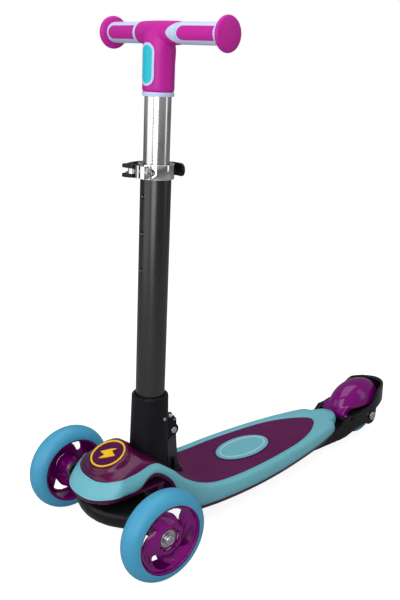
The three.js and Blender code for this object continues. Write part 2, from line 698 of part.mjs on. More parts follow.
// ------------------------------------------------------------------------------ brake
const DOME = { x: -476, z: 56, long: 50.5, wide: 28.5, high: 34.5, wall: 2.8 };

function makeDome() {
  const egg = (shrink) => {
    const g = new THREE.SphereGeometry(1, 18, 10);
    g.rotateX(Math.PI / 2);
    g.scale(DOME.long - shrink, DOME.wide - shrink, DOME.high - shrink);
    return g.rotateY(rad(6)).translate(DOME.x, 0, DOME.z);
  };
  const below = block(-600, -300, -60, 60, 0, 55.5);
  const { pinX, pinZ } = BRAKE;
  const tail = prismY((outline) => {
    outline.moveTo(pinX + 5.2, pinZ);
    outline.absarc(pinX, pinZ, 5.2, 0, -Math.PI, true);
    outline.lineTo(pinX - 14, 56);
    outline.lineTo(pinX - 12, 62);
    outline.lineTo(pinX - 4, 60.5);
    outline.lineTo(pinX + 4, 56);
    outline.lineTo(pinX + 7, 49);
  }, -22, 22, 4);
  const pin = acrossY(rod(2.8, -60, 60, 16)).translate(BRAKE.pinX, 0, BRAKE.pinZ);
  const springRoom = block(BRAKE.pinX - 7, BRAKE.pinX + 9, -8, 8, 36, BRAKE.pinZ + 6);
  return cut(join(cut(egg(0), egg(DOME.wall), below), cut(tail, egg(DOME.wall))), pin, springRoom);
}
piece('brake_dome', makeDome(), PAINT.violet());
piece('brake_pin', acrossY(turned([
  [0, -31.8], [2.5, -31.8], [2.5, 31.8], [0, 31.8],
], 16)).translate(BRAKE.pinX, 0, BRAKE.pinZ), PAINT.steel());
piece('brake_spring', acrossY(coil(4.2, 0.8, -6, 6, 4, 8, 5))
  .translate(BRAKE.pinX, 0, BRAKE.pinZ), PAINT.steel());
piece('brake_shoe', prismY((outline) => {
  outline.absarc(REAR_WHEEL.x, REAR_WHEEL.z, 41.6, rad(40), rad(122), false);
  outline.absarc(REAR_WHEEL.x, REAR_WHEEL.z, 43.6, rad(122), rad(40), true);
}, -9, 9, 8), PAINT.steel());

// ------------------------------------------------------------------------ lower stem
const CROSS = { x: -6, s: 161 };
const pivotInStem = inStem(PIVOT);
const latchInStem = inStem(LATCH);

function makeSleeve() {
  const cone = turned([
    [0, SLEEVE.low - 12],
    [SLEEVE.baseRadius, SLEEVE.low - 12],
    [SLEEVE.rimRadius, SLEEVE.top - 1.5],
    [SLEEVE.rimRadius - 1.5, SLEEVE.top],
    [0, SLEEVE.top],
  ], 28);
  const socket = rod(OUTER_TUBE.radius + GAP, OUTER_TUBE.low - GAP, SLEEVE.top + 5, 28);
  const relief = rod(14, 30, OUTER_TUBE.low + 5, 24);
  const p = pivotInStem;
  const l = latchInStem;
  const ears = [-1, 1].map((side) => prismY((outline) => {
    outline.moveTo(-20, p.z - 16);
    outline.lineTo(p.x + 2, p.z - 8.5);
    outline.absarc(p.x, p.z, 8.8, -Math.PI / 2, -Math.PI * 1.3, true);
    outline.absarc(l.x, l.z, 3, Math.PI, 0.2, true);
    outline.lineTo(-20, l.z + 9);
  }, side * 9.3 - 2.1, side * 9.3 + 2.1));
  const between = block(-60, -OUTER_TUBE.radius - 3.4, -7.2, 7.2, p.z - 40, p.z + 30);
  const pins = [[p, TONGUE.pinHole], [l, 1.8]].map(([at, radius]) =>
    acrossY(rod(radius, -40, 40, 14)).translate(at.x, 0, at.z));
  const cross = acrossY(rod(2.3 + GAP, -40, 40, 14)).translate(CROSS.x, 0, CROSS.s);
  return cut(join(cone, ...ears), socket, relief, sleeveFoot(0), between, ...pins, cross);
}

piece('stem_sleeve', makeSleeve(), PAINT.black(), stem);
piece('fold_pin', acrossY(turned([
  [0, -13.6], [4.5, -13.2], [4.5, -11.8], [3, -11.8], [3, 11.8], [4.5, 11.8], [4.5, 13.2], [0, 13.6],
], 16)).translate(pivotInStem.x, 0, pivotInStem.z), PAINT.steel(), stem);
piece('latch_pin', acrossY(rod(1.5, -11.2, 11.2, 16))
  .translate(latchInStem.x, 0, latchInStem.z), PAINT.steel(), stem);
piece('latch_spring', acrossY(coil(3.6, 0.9, 0, 5.6, 2.5, 10, 5))
  .translate(latchInStem.x, 0, latchInStem.z), PAINT.steel(), stem);
piece('fold_latch', cut(
  join(
    acrossY(rod(3.4, -6.4, -1.6, 14)),
    prismY((outline) => {
      outline.moveTo(2.6, 1);
      outline.lineTo(2.8, -4.2);
      outline.lineTo(-2.4, -4.6);
      outline.lineTo(-2.6, 1);
    }, -6.4, -1.6),
    prismY((outline) => {
      outline.moveTo(0, 3.2);
      outline.lineTo(-5.4, 3.4);
      outline.lineTo(-5.6, 1.8);
      outline.lineTo(-2, 0);
    }, -6.4, -1.6),
  ),
  acrossY(rod(1.5 + GAP, -20, 20, 16)),
).translate(latchInStem.x, 0, latchInStem.z), PAINT.black(), stem);
piece('sleeve_pin', acrossY(turned([
  [0, -25.2], [2.3, -25.2], [2.3, 25.2], [0, 25.2],
], 14)).translate(CROSS.x, 0, CROSS.s), PAINT.steel(), stem);

const holeHeights = Array.from({ length: HEIGHT_HOLES.count }, (_, i) =>
  HEIGHT_HOLES.highest - i * HEIGHT_HOLES.pitch);
const alongX = (g) => g.rotateY(Math.PI / 2);

function makeOuterTube() {
  const tube = ring(OUTER_TUBE.radius, OUTER_TUBE.bore, OUTER_TUBE.low, OUTER_TUBE.top, 28);
  const holes = holeHeights.map((s) =>
    alongX(rod(HEIGHT_HOLES.radius, 8, 30, 16)).translate(0, 0, s));
  const slot = block(-30, -10, -1.5, 1.5, OUTER_TUBE.top - 32, OUTER_TUBE.top + 5);
  const cross = acrossY(rod(2.3 + GAP, -40, 40, 14)).translate(CROSS.x, 0, CROSS.s);
  return cut(tube, ...holes, slot, cross);
}
piece('outer_tube', makeOuterTube(), PAINT.black(), stem);

// ------------------------------------------------------------------------ height clamp
function makeClamp() {
  const { low, top, radius, boltX } = CLAMP;
  const band = ring(radius, OUTER_TUBE.radius + GAP, low, top, 28);
  const ears = block(12, boltX + 6, -7.5, 7.5, low + 2, top - 2);
  const bore = rod(OUTER_TUBE.radius + GAP, low - 5, top + 5, 28);
  const gap = block(10, 40, -1.3, 1.3, low - 5, top + 5);
  const hole = acrossY(rod(2.5 + GAP, -40, 40, 14)).translate(boltX, 0, (low + top) / 2);
  const headRoom = acrossY(rod(6, 7.6, 20, 16)).translate(boltX, 0, (low + top) / 2);
  return cut(join(band, ears), bore, gap, hole, headRoom);
}
const clamp = new THREE.Group();
clamp.rotation.z = rad(CLAMP.turn);
stem.add(clamp);
const clampMiddle = (CLAMP.low + CLAMP.top) / 2;
const LEVER_PIN = { x: CLAMP.boltX + 0.6, y: -17.5 };
piece('clamp_ring', makeClamp(), PAINT.chrome(), clamp);
piece('clamp_screw', acrossY(turned([
  [0, -20.5], [2.5, -20.5], [2.5, 7.9], [5.6, 7.9], [5.2, 11.5], [2.4, 12.6], [0, 12.6],
], 16)).translate(CLAMP.boltX, 0, clampMiddle), PAINT.steel(), clamp);
piece('clamp_pivot', cut(
  rod(5, CLAMP.low + 1.6, CLAMP.top - 1.6, 16).translate(LEVER_PIN.x, LEVER_PIN.y, 0),
  acrossY(rod(2.5 + GAP, -40, 0, 14)).translate(CLAMP.boltX, 0, clampMiddle),
), PAINT.chrome(), clamp);

function makeLever() {
  const { low, top, leverRadius } = CLAMP;
  const from = Math.atan2(-22, CLAMP.boltX);
  const to = -rad(210);
  const arm = prismZ((outline) => {
    outline.absarc(0, 0, leverRadius + 3.2, from, to, true);
    outline.absarc(0, 0, leverRadius, to, from, false);
  }, low + 1, top - 1, 20);
  const cam = rod(6.8, low + 1, top - 1, 20).translate(LEVER_PIN.x, LEVER_PIN.y, 0);
  const toes = block(LEVER_PIN.x - 6, LEVER_PIN.x + 8, LEVER_PIN.y - 9, LEVER_PIN.y - 2,
    low + 1, top - 1);
  const slot = block(LEVER_PIN.x - 30, LEVER_PIN.x + 30, LEVER_PIN.y - 40, 0,
    clampMiddle - 3.2, clampMiddle + 3.2);
  const near = block(LEVER_PIN.x - 30, LEVER_PIN.x + 30, -8.5, 30, low - 5, top + 5);
  const tube = rod(CLAMP.radius + 1, low - 10, top + 10, 28);
  const pin = rod(5 + GAP, low - 10, top + 10, 20).translate(LEVER_PIN.x, LEVER_PIN.y, 0);
  const head = cut(join(cam, toes), slot, near, tube);
  return cut(join(head, arm), pin, near);
}
piece('clamp_lever', makeLever(), PAINT.black(), clamp);

// --------------------------------------------------------------------------- handlebar
piece('inner_tube', cut(
  ring(INNER_TUBE.radius, INNER_TUBE.bore, INNER_TUBE.low, INNER_TUBE.top, 28),
  alongX(rod(3.3, 5, 30, 14)).translate(0, 0, HEIGHT_HOLES.highest),
), PAINT.alloy(), stem);
piece('height_button', alongX(turned([
  [0, 8.5], [4.6, 8.5], [4.6, 9.6], [3, 9.6], [3, 14.6], [1.8, 15.6], [0, 15.8],
], 14)).translate(0, 0, HEIGHT_HOLES.highest), PAINT.steel(), stem);
piece('button_spring', prismY((outline) => {
  outline.moveTo(7.9, 456);
  outline.lineTo(7.9, 439);
  outline.lineTo(-13.2, 398);
  outline.lineTo(-13.2, 392);
  outline.lineTo(-12.2, 392);
  outline.lineTo(-12.2, 397.6);
  outline.lineTo(8.9, 438.8);
  outline.lineTo(8.9, 442.6);
  outline.lineTo(8.2, 442.6);
  outline.lineTo(8.2, 456);
}, -2.5, 2.5), PAINT.steel(), stem);

/** Half of the bar or one grip, drawn along Y, swept back on its own side. */
const swept = (g, hand) => g.rotateZ(hand * rad(GRIP.sweep)).translate(0, 0, BAR.s);

function makeHandle() {
  const { low, collar } = HANDLE;
  const post = turned([
    [0, low + collar + GAP], [18.9, low + collar + GAP], [18.8, 600], [19.4, 616],
    [16.5, 630], [9, 639.5], [0, 641.5],
  ], 24);
  const arm = [[0, 0], [13.4, 0], [13.2, 24], [12.8, GRIP.inner - GAP], [0, GRIP.inner - GAP]];
  const arms = [1, -1].map((hand) =>
    swept(acrossY(turned(arm.map(([r, y]) => [r, hand * y]), 20)), hand));
  const tube = rod(INNER_TUBE.radius + GAP, 500, INNER_TUBE.top + GAP, 28);
  const bores = [1, -1].map((hand) =>
    swept(acrossY(rod(BAR.radius + GAP, hand > 0 ? -6 : -60, hand > 0 ? 60 : 6, 20)), hand));
  return cut(join(post, ...arms), tube, ...bores, insertBlank(0.9 + GAP, INSERT.floor - 1.6, 40));
}
const INSERT = { low: 577, high: 621, half: 8.4, floor: 17.6 };
function insertBlank(grow, x0, x1) {
  const half = INSERT.half + grow;
  return prismZ((outline) => {
    outline.absarc(0, INSERT.high - INSERT.half, half, 0, Math.PI, false);
    outline.absarc(0, INSERT.low + INSERT.half, half, Math.PI, 2 * Math.PI, false);
  }, 0, x1 - x0, 8).rotateX(Math.PI / 2).rotateZ(Math.PI / 2).translate(x0, 0, 0);
}
piece('handle_body', makeHandle(), PAINT.magenta(), stem);
piece('handle_insert', cut(
  insertBlank(0.9, INSERT.floor - 1.6, INSERT.floor),
  rod(INNER_TUBE.radius + GAP, 500, 700, 28),
), PAINT.turquoise(), stem);
piece('handle_collar', ring(19.2, INNER_TUBE.radius + GAP, HANDLE.low, HANDLE.low + HANDLE.collar, 28),
  PAINT.pale(), stem);
piece('cross_bar', join(...[1, -1].map((hand) =>
  swept(acrossY(rod(BAR.radius, hand > 0 ? -3 : -BAR.half, hand > 0 ? BAR.half : 3, 20)), hand))),
PAINT.alloy(), stem);

/** Outline of a grip's soft pad on its front, round at the end with the lower Y. */
function padBlank(grow, y0, y1) {
  const half = 7.6 + grow;
  return prismZ((outline) => {
    outline.moveTo(y1 + grow, half);
    outline.lineTo(y0 + half, half);
    outline.absarc(y0 + half, 0, half, Math.PI / 2, Math.PI * 1.5, false);
    outline.lineTo(y1 + grow, -half);
  }, 0, 16, 6).rotateX(Math.PI / 2).rotateZ(Math.PI / 2);
}

for (const [side, hand] of [['left', 1], ['right', -1]]) {
  const [y0, y1] = hand > 0 ? [GRIP.inner, GRIP.outer] : [-GRIP.outer, -GRIP.inner];
  const grip = acrossY(turned([
    [BAR.radius + GAP, y0], [GRIP.radius, y0], [GRIP.radius, y1], [BAR.radius + GAP, y1],
  ], 24));
  const pad = (grow) => padBlank(grow, y0 + 4, y1 - 4).translate(7, 0, 0);
  piece(`grip_${side}`, swept(cut(grip, pad(GAP)), hand), PAINT.pale(), stem);
  piece(`grip_pad_${side}`, swept(cut(
    common(pad(0), acrossY(rod(GRIP.radius + 0.5, -120, 120, 24))),
    acrossY(rod(BAR.radius + GAP * 2, -120, 120, 20)),
  ), hand), PAINT.magenta(), stem);
  const knob = turned([
    [0, BAR.half + GAP], [BAR.radius + 1.2, BAR.half + GAP], [BAR.radius + 1.2, GRIP.outer + GAP],
    [15, GRIP.outer + GAP], [KNOB.radius, 105.6], [KNOB.radius, 107.6], [18.6, 109.4],
    [13, 110.9], [6, KNOB.reach - 0.1], [0, KNOB.reach],
  ].map(([r, y]) => [r, hand * y]), 24);
  piece(`grip_knob_${side}`, swept(acrossY(knob), hand), PAINT.magenta(), stem);
}

export default scooter;
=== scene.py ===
"""Looks of a child's folding three-wheeled kick scooter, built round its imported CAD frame.

Shapes are drawn in millimetres in the scooter's drawing frame (origin on the ground below the front
axle, +X forwards, +Y to the rider's left, +Z up) and placed in metres in the frame of the CAD.
"""

import json
import logging
import math
from collections.abc import Callable, Sequence
from dataclasses import dataclass, field
from enum import Enum

import bmesh
import bpy
from mathutils import Matrix, Vector


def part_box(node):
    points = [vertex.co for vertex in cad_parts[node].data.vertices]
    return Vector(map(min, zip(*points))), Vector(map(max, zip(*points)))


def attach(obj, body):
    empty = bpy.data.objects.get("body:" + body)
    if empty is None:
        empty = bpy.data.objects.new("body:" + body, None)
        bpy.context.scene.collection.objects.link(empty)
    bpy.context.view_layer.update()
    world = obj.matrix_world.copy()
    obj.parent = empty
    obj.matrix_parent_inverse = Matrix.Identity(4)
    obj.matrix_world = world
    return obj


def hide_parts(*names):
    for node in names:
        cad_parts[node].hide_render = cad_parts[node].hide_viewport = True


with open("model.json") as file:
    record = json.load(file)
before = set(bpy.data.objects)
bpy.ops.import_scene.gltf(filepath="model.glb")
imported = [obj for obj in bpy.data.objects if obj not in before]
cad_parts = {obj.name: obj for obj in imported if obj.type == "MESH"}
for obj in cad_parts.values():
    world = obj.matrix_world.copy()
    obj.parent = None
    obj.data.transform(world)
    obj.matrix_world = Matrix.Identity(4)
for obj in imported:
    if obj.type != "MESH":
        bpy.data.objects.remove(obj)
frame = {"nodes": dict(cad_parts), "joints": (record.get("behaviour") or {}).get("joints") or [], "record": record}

LOG = logging.getLogger("scooter")
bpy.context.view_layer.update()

MM = 0.001
FINE = 96                       # sides of a round piece
GRIP_SWEEP = math.radians(5)    # each half of the handlebar is swept back this much
STEM_FOOT = -52.8               # stem axis on the ground, from the front axle
CLAMP_TURN = math.radians(10)   # the clamp's ears point this far to the left of forwards
BUTTON_HEIGHT = 447.5           # the height button and the highest hole, along the stem
TO_Y = Matrix.Rotation(-math.pi / 2, 4, "X")    # lays a Z axis along Y

Profile = Sequence[tuple[float, float]]
Line = list[tuple[float, float]]
Row = list[Vector]


# --------------------------------------------------------------------------------- places
def joint(name: str) -> dict:
    """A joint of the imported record.

    Args:
        name: the joint's name.

    Returns:
        The record's entry for it.
    """
    return next(j for j in frame["joints"] if j["name"] == name)


def centre_of(node: str) -> Vector:
    """Middle of a CAD node's box, in metres."""
    low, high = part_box(node)
    return (low + high) / 2


def drawing_place() -> Matrix:
    """Drawing frame to CAD frame: millimetres to metres, and the front axle to its place."""
    return Matrix.Translation((centre_of("front_tyre_left").x, 0, 0)) @ Matrix.Scale(MM, 4)


def stem_place() -> Matrix:
    """Frame of the raked stem: Z along its tubes."""
    axis = Vector(joint("height_slide")["axis"])
    rake = math.atan2(axis.x, axis.z)
    return drawing_place() @ Matrix.Translation((STEM_FOOT, 0, 0)) @ Matrix.Rotation(rake, 4, "Y")


def across(place: Matrix, x: float = 0, y: float = 0, z: float = 0) -> Matrix:
    """A place whose Z axis lies along Y.

    Args:
        place: the frame in which the point is given.
        x: forward position.
        y: sideways position.
        z: height.

    Returns:
        The frame of something that turns about Y there.
    """
    return place @ Matrix.Translation((x, y, z)) @ TO_Y


def across_node(node: str) -> Matrix:
    """Frame in the middle of a CAD node, with its Z axis along Y."""
    return Matrix.Translation(centre_of(node)) @ Matrix.Scale(MM, 4) @ TO_Y


# --------------------------------------------------------------------------------- shapes
@dataclass
class Shell:
    """Points and faces of a surface that is being drawn.

    Args:
        points: corner points in millimetres.
        faces: corner numbers of each face.
    """

    points: list[Vector] = field(default_factory=list)
    faces: list[tuple[int, ...]] = field(default_factory=list)

    def add(self, other: "Shell") -> "Shell":
        """Takes in another shell and returns itself."""
        start = len(self.points)
        self.points += other.points
        self.faces += [tuple(start + i for i in face) for face in other.faces]
        return self

    def moved(self, place: Matrix) -> "Shell":
        """A copy put through a matrix."""
        return Shell([place @ p for p in self.points], list(self.faces))

    def trimmed(self, kept: Callable[[Vector], bool]) -> "Shell":
        """Drops the faces whose middle fails a test, and returns itself."""
        self.faces = [face for face in self.faces
                      if kept(sum((self.points[k] for k in face), Vector()) / len(face))]
        return self

    def bm(self) -> bmesh.types.BMesh:
        """The shell as a welded bmesh with its faces pointing out."""
        bm = bmesh.new()
        corners = [bm.verts.new(p) for p in self.points]
        for face in self.faces:
            used = list(dict.fromkeys(face))
            if len(used) > 2:
                bm.faces.new([corners[i] for i in used])
        bmesh.ops.remove_doubles(bm, verts=bm.verts, dist=1e-4)
        bmesh.ops.dissolve_degenerate(bm, edges=bm.edges, dist=1e-5)
        bmesh.ops.recalc_face_normals(bm, faces=bm.faces)
        return bm

    @staticmethod
    def of(bm: bmesh.types.BMesh) -> "Shell":
        """Takes a bmesh back as a shell and frees it."""
        bm.verts.index_update()
        made = Shell([v.co.copy() for v in bm.verts],
                     [tuple(v.index for v in f.verts) for f in bm.faces])
        bm.free()
        return made


def angles(count: int) -> list[float]:
    """Evenly spaced angles all the way round, in radians."""
    return [2 * math.pi * k / count for k in range(count)]


def eased(points: Profile, radius: float, steps: int = 4, closed: bool = False) -> Line:
    """Rounds the corners of an outline.

    Args:
        points: corners in order.
        radius: distance from a corner at which its rounding starts.
        steps: points in each rounding.
        closed: whether the last point joins the first.

    Returns:
        The outline with its corners rounded.
    """
    made: Line = []
    count = len(points)
    for i, here in enumerate(points):
        if not closed and i in (0, count - 1):
            made.append(tuple(here))
            continue
        corner = Vector(here)
        before = Vector(points[i - 1]) - corner
        after = Vector(points[(i + 1) % count]) - corner
        reach = min(radius, before.length * 0.45, after.length * 0.45)
        start = corner + before.normalized() * reach
        end = corner + after.normalized() * reach
        for k in range(steps + 1):
            t = k / steps
            made.append(tuple(start * (1 - t) ** 2 + corner * (2 * t * (1 - t)) + end * t**2))
    return made


def turned(profile: Profile, closed: bool = False, sides: int = FINE) -> Shell:
    """Surface of revolution about Z.

    Args:
        profile: (radius, height) pairs.
        closed: whether the last pair joins the first, for a ring.
        sides: number of sides.

    Returns:
        The surface.
    """
    rows = [[Vector((r * math.cos(t), r * math.sin(t), z)) for t in angles(sides)] for r, z in profile]
    return skin(rows, loop_rows=closed)


def rod(radius: float, low: float, high: float, sides: int = FINE) -> Shell:
    """Plain cylinder about Z."""
    return turned([(0, low), (radius, low), (radius, high), (0, high)], sides=sides)


def hexed(profile: Sequence[tuple[float, float, bool]]) -> list[Row]:
    """Rings about Z, of which some are hexagons.

    Args:
        profile: radius and height of each ring, and whether it is a hexagon.

    Returns:
        The rings.
    """
    rows = []
    for radius, z, six in profile:
        row = []
        for t in angles(FINE):
            flat = math.cos(math.pi / 6) / math.cos((t % (math.pi / 3)) - math.pi / 6)
            r = radius * (flat if six else 1)
            row.append(Vector((r * math.cos(t), r * math.sin(t), z)))
        rows.append(row)
    return rows


def skin(
    rows: Sequence[Row], loop_rows: bool = False, loop_ring: bool = True, caps: bool = False,
) -> Shell:
    """Surface over rows of equally many points.

    Args:
        rows: the rows.
        loop_rows: whether the last row joins the first.
        loop_ring: whether each row is a closed ring.
        caps: whether the first and last rings are closed with a face.

    Returns:
        The surface.
    """
    wide = len(rows[0])
    shell = Shell([p.copy() for row in rows for p in row])
    for i in range(len(rows) if loop_rows else len(rows) - 1):
        below, above = i * wide, ((i + 1) % len(rows)) * wide
        for j in range(wide if loop_ring else wide - 1):
            k = (j + 1) % wide
            shell.faces.append((below + j, below + k, above + k, above + j))
    if caps:
        shell.faces.append(tuple(reversed(range(wide))))
        shell.faces.append(tuple((len(rows) - 1) * wide + j for j in range(wide)))
    return shell


def prism(outline: Profile, low: float, high: float) -> Shell:
    """Upright prism over an outline in X and Y."""
    return skin([[Vector((x, y, z)) for x, y in outline] for z in (low, high)], caps=True)


def block(low: Sequence[float], high: Sequence[float]) -> Shell:
    """Box between two corners."""
    (x0, y0, z0), (x1, y1, z1) = low, high
    return prism([(x0, y0), (x1, y0), (x1, y1), (x0, y1)], z0, z1)


def extruded(outline: Profile, half: float) -> Shell:
    """Prism over an outline in X and Z, reaching equally far to both sides."""
    return skin([[Vector((x, y, z)) for x, z in outline] for y in (-half, half)], caps=True)


def mirrored(half: Line) -> Line:
    """Outline from its left half, whose last point is on the middle line."""
    return half + [(x, -y) for x, y in reversed(half[:-1])]


def arc(radius: float, start: float, end: float, steps: int, x: float = 0, y: float = 0) -> Line:
    """Points on an arc.

    Args:
        radius: its radius.
        start: first angle in degrees.
        end: last angle in degrees.
        steps: number of steps.
        x: centre.
        y: centre.

    Returns:
        The points.
    """
    turns = [math.radians(start + (end - start) * i / steps) for i in range(steps + 1)]
    return [(x + radius * math.cos(a), y + radius * math.sin(a)) for a in turns]


def thick(shell: Shell, depth: float) -> Shell:
    """Gives an open sheet a thickness on its inner side."""
    bm = shell.bm()
    bmesh.ops.solidify(bm, geom=list(bm.faces), thickness=depth)
    return Shell.of(bm)


def calmed(bm: bmesh.types.BMesh, rounds: int, sideways: bool = True) -> Shell:
    """Smooths a bmesh except at its open edges, and takes it back as a shell.

    Args:
        bm: the bmesh.
        rounds: how often it is smoothed.
        sideways: whether its points may also move along Y.

    Returns:
        The shell.
    """
    for _ in range(rounds):
        bmesh.ops.smooth_vert(bm, verts=[v for v in bm.verts if not v.is_boundary], factor=0.5,
                              use_axis_x=True, use_axis_y=sideways, use_axis_z=True)
    return Shell.of(bm)


def bow(*points: tuple[float, float]) -> Line:
    """Smooth curve drawn by its control points, of any number."""
    line = []
    for i in range(17):
        share = i / 16
        left = [Vector(point) for point in points]
        while len(left) > 1:
            left = [a.lerp(b, share) for a, b in zip(left, left[1:])]
        line.append(tuple(left[0]))
    return line


def coil(radius: float, wire: float, low: float, high: float, turns: float) -> Shell:
    """Coil of round wire about Z.

    Args:
        radius: from the axis to the wire's middle.
        wire: radius of the wire.
        low: height of its start.
        high: height of its end.
        turns: number of turns.

    Returns:
        The coil.
    """
    steps = int(turns * 32)
    rows = []
    for i in range(steps + 1):
        angle = 2 * math.pi * turns * i / steps
        out = Vector((math.cos(angle), math.sin(angle), 0))
        middle = out * radius + Vector((0, 0, low + (high - low) * i / steps))
        rows.append([middle + out * (wire * math.cos(t)) + Vector((0, 0, wire * math.sin(t)))
                     for t in angles(12)])
    return skin(rows, caps=True)


def smooth_line(points: Sequence[Vector], steps: int) -> Row:
    """Centripetal Catmull-Rom curve whose ends meet the middle plane squarely.

    Args:
        points: points to pass through, the first and last of them on the plane Y = 0.
        steps: number of steps.

    Returns:
        The curve's points.
    """
    flip = [Vector((p.x, -p.y, p.z)) for p in (points[1], points[-2])]
    full = [flip[0], *points, flip[1]]
    made = []
    for i in range(steps + 1):
        at = (len(points) - 1) * i / steps
        k = min(int(at), len(points) - 2)
        t = at - k
        p0, p1, p2, p3 = full[k:k + 4]
        d0, d1, d2 = (max((b - a).length ** 0.5, 1e-4) for a, b in ((p0, p1), (p1, p2), (p2, p3)))
        m1 = ((p1 - p0) / d0 - (p2 - p0) / (d0 + d1) + (p2 - p1) / d1) * d1
        m2 = ((p2 - p1) / d1 - (p3 - p1) / (d1 + d2) + (p3 - p2) / d2) * d1
        made.append(p1 * (2 * t**3 - 3 * t**2 + 1) + m1 * (t**3 - 2 * t**2 + t)
                    + p2 * (3 * t**2 - 2 * t**3) + m2 * (t**3 - t**2))
    return made


def reading(table: Sequence[tuple[float, float]], x: float) -> float:
    """Value at x in a table of (x, value) pairs whose x falls.

    Args:
        table: the pairs.
        x: where to read.

    Returns:
        The value, on straight lines between the pairs.
    """
    if x >= table[0][0]:
        return table[0][1]
    for (x1, v1), (x0, v0) in zip(table, table[1:]):
        if x0 <= x <= x1:
            return v0 + (v1 - v0) * (x - x0) / max(x1 - x0, 1e-6)
    return table[-1][1]


# --------------------------------------------------------------------------------- effects
class Effect(Enum):
    """Shader node groups that several finishes share."""

    GRAIN = "fine_grain"
    DRIFT = "tone_drift"
    HANDLING = "handling_marks"


def group_frame(
    name: str, inputs: Sequence[tuple[str, str, object]], outputs: Sequence[tuple[str, str]],
) -> tuple[bpy.types.NodeTree, bpy.types.Node, bpy.types.Node]:
    """Empty shader node group with its sockets.

    Args:
        name: the group's name.
        inputs: name, socket type and starting value of each input.
        outputs: name and socket type of each output.

    Returns:
        The group, its input node and its output node.
    """
    tree = bpy.data.node_groups.new(name, "ShaderNodeTree")
    for label, kind, value in inputs:
        socket = tree.interface.new_socket(name=label, in_out="INPUT", socket_type=kind)
        socket.default_value = value
    for label, kind in outputs:
        tree.interface.new_socket(name=label, in_out="OUTPUT", socket_type=kind)
    return tree, tree.nodes.new("NodeGroupInput"), tree.nodes.new("NodeGroupOutput")


def noise_in(tree: bpy.types.NodeTree, given: bpy.types.Node, detail: float) -> bpy.types.NodeSocket:
    """Noise over the object, at the scale that its group is given."""
    where = tree.nodes.new("ShaderNodeTexCoord")
    noise = tree.nodes.new("ShaderNodeTexNoise")
    noise.inputs["Detail"].default_value = detail
    tree.links.new(where.outputs["Object"], noise.inputs["Vector"])
    tree.links.new(given.outputs["Scale"], noise.inputs["Scale"])
    return noise.outputs["Fac"]


def grain_group() -> bpy.types.NodeTree:
    """Fine moulding grain, as a bumped normal."""
    tree, given, made = group_frame(
        Effect.GRAIN.value,
        [("Scale", "NodeSocketFloat", 900.0), ("Depth", "NodeSocketFloat", 0.1)],
        [("Normal", "NodeSocketVector")],
    )
    noise = noise_in(tree, given, 3)
    bump = tree.nodes.new("ShaderNodeBump")
    bump.inputs["Distance"].default_value = 0.0004
    tree.links.new(given.outputs["Depth"], bump.inputs["Strength"])
    tree.links.new(noise, bump.inputs["Height"])
    tree.links.new(bump.outputs["Normal"], made.inputs["Normal"])
    return tree


def drift_group() -> bpy.types.NodeTree:
    """Slow change between two tones of one colour."""
    tree, given, made = group_frame(
        Effect.DRIFT.value,
        [("Tone", "NodeSocketColor", (1, 1, 1, 1)), ("Shade", "NodeSocketColor", (1, 1, 1, 1)),
         ("Scale", "NodeSocketFloat", 30.0)],
        [("Color", "NodeSocketColor")],
    )
    mix = tree.nodes.new("ShaderNodeMix")
    mix.data_type = "RGBA"
    tree.links.new(noise_in(tree, given, 2), mix.inputs[0])
    tree.links.new(given.outputs["Tone"], mix.inputs[6])
    tree.links.new(given.outputs["Shade"], mix.inputs[7])
    tree.links.new(mix.outputs[2], made.inputs["Color"])
    return tree


def handling_group() -> bpy.types.NodeTree:
    """Roughness that changes a little where hands and cloths have been."""
    tree, given, made = group_frame(
        Effect.HANDLING.value,
        [("Low", "NodeSocketFloat", 0.2), ("High", "NodeSocketFloat", 0.3),
         ("Scale", "NodeSocketFloat", 45.0)],
        [("Roughness", "NodeSocketFloat")],
    )
    spread = tree.nodes.new("ShaderNodeMapRange")
    spread.inputs["From Min"].default_value = 0.3
    spread.inputs["From Max"].default_value = 0.7
    tree.links.new(noise_in(tree, given, 4), spread.inputs["Value"])
    tree.links.new(given.outputs["Low"], spread.inputs["To Min"])
    tree.links.new(given.outputs["High"], spread.inputs["To Max"])
    tree.links.new(spread.outputs["Result"], made.inputs["Roughness"])
    return tree


EFFECTS: dict[Effect, bpy.types.NodeTree] = {
    Effect.GRAIN: grain_group(),
    Effect.DRIFT: drift_group(),
    Effect.HANDLING: handling_group(),
}


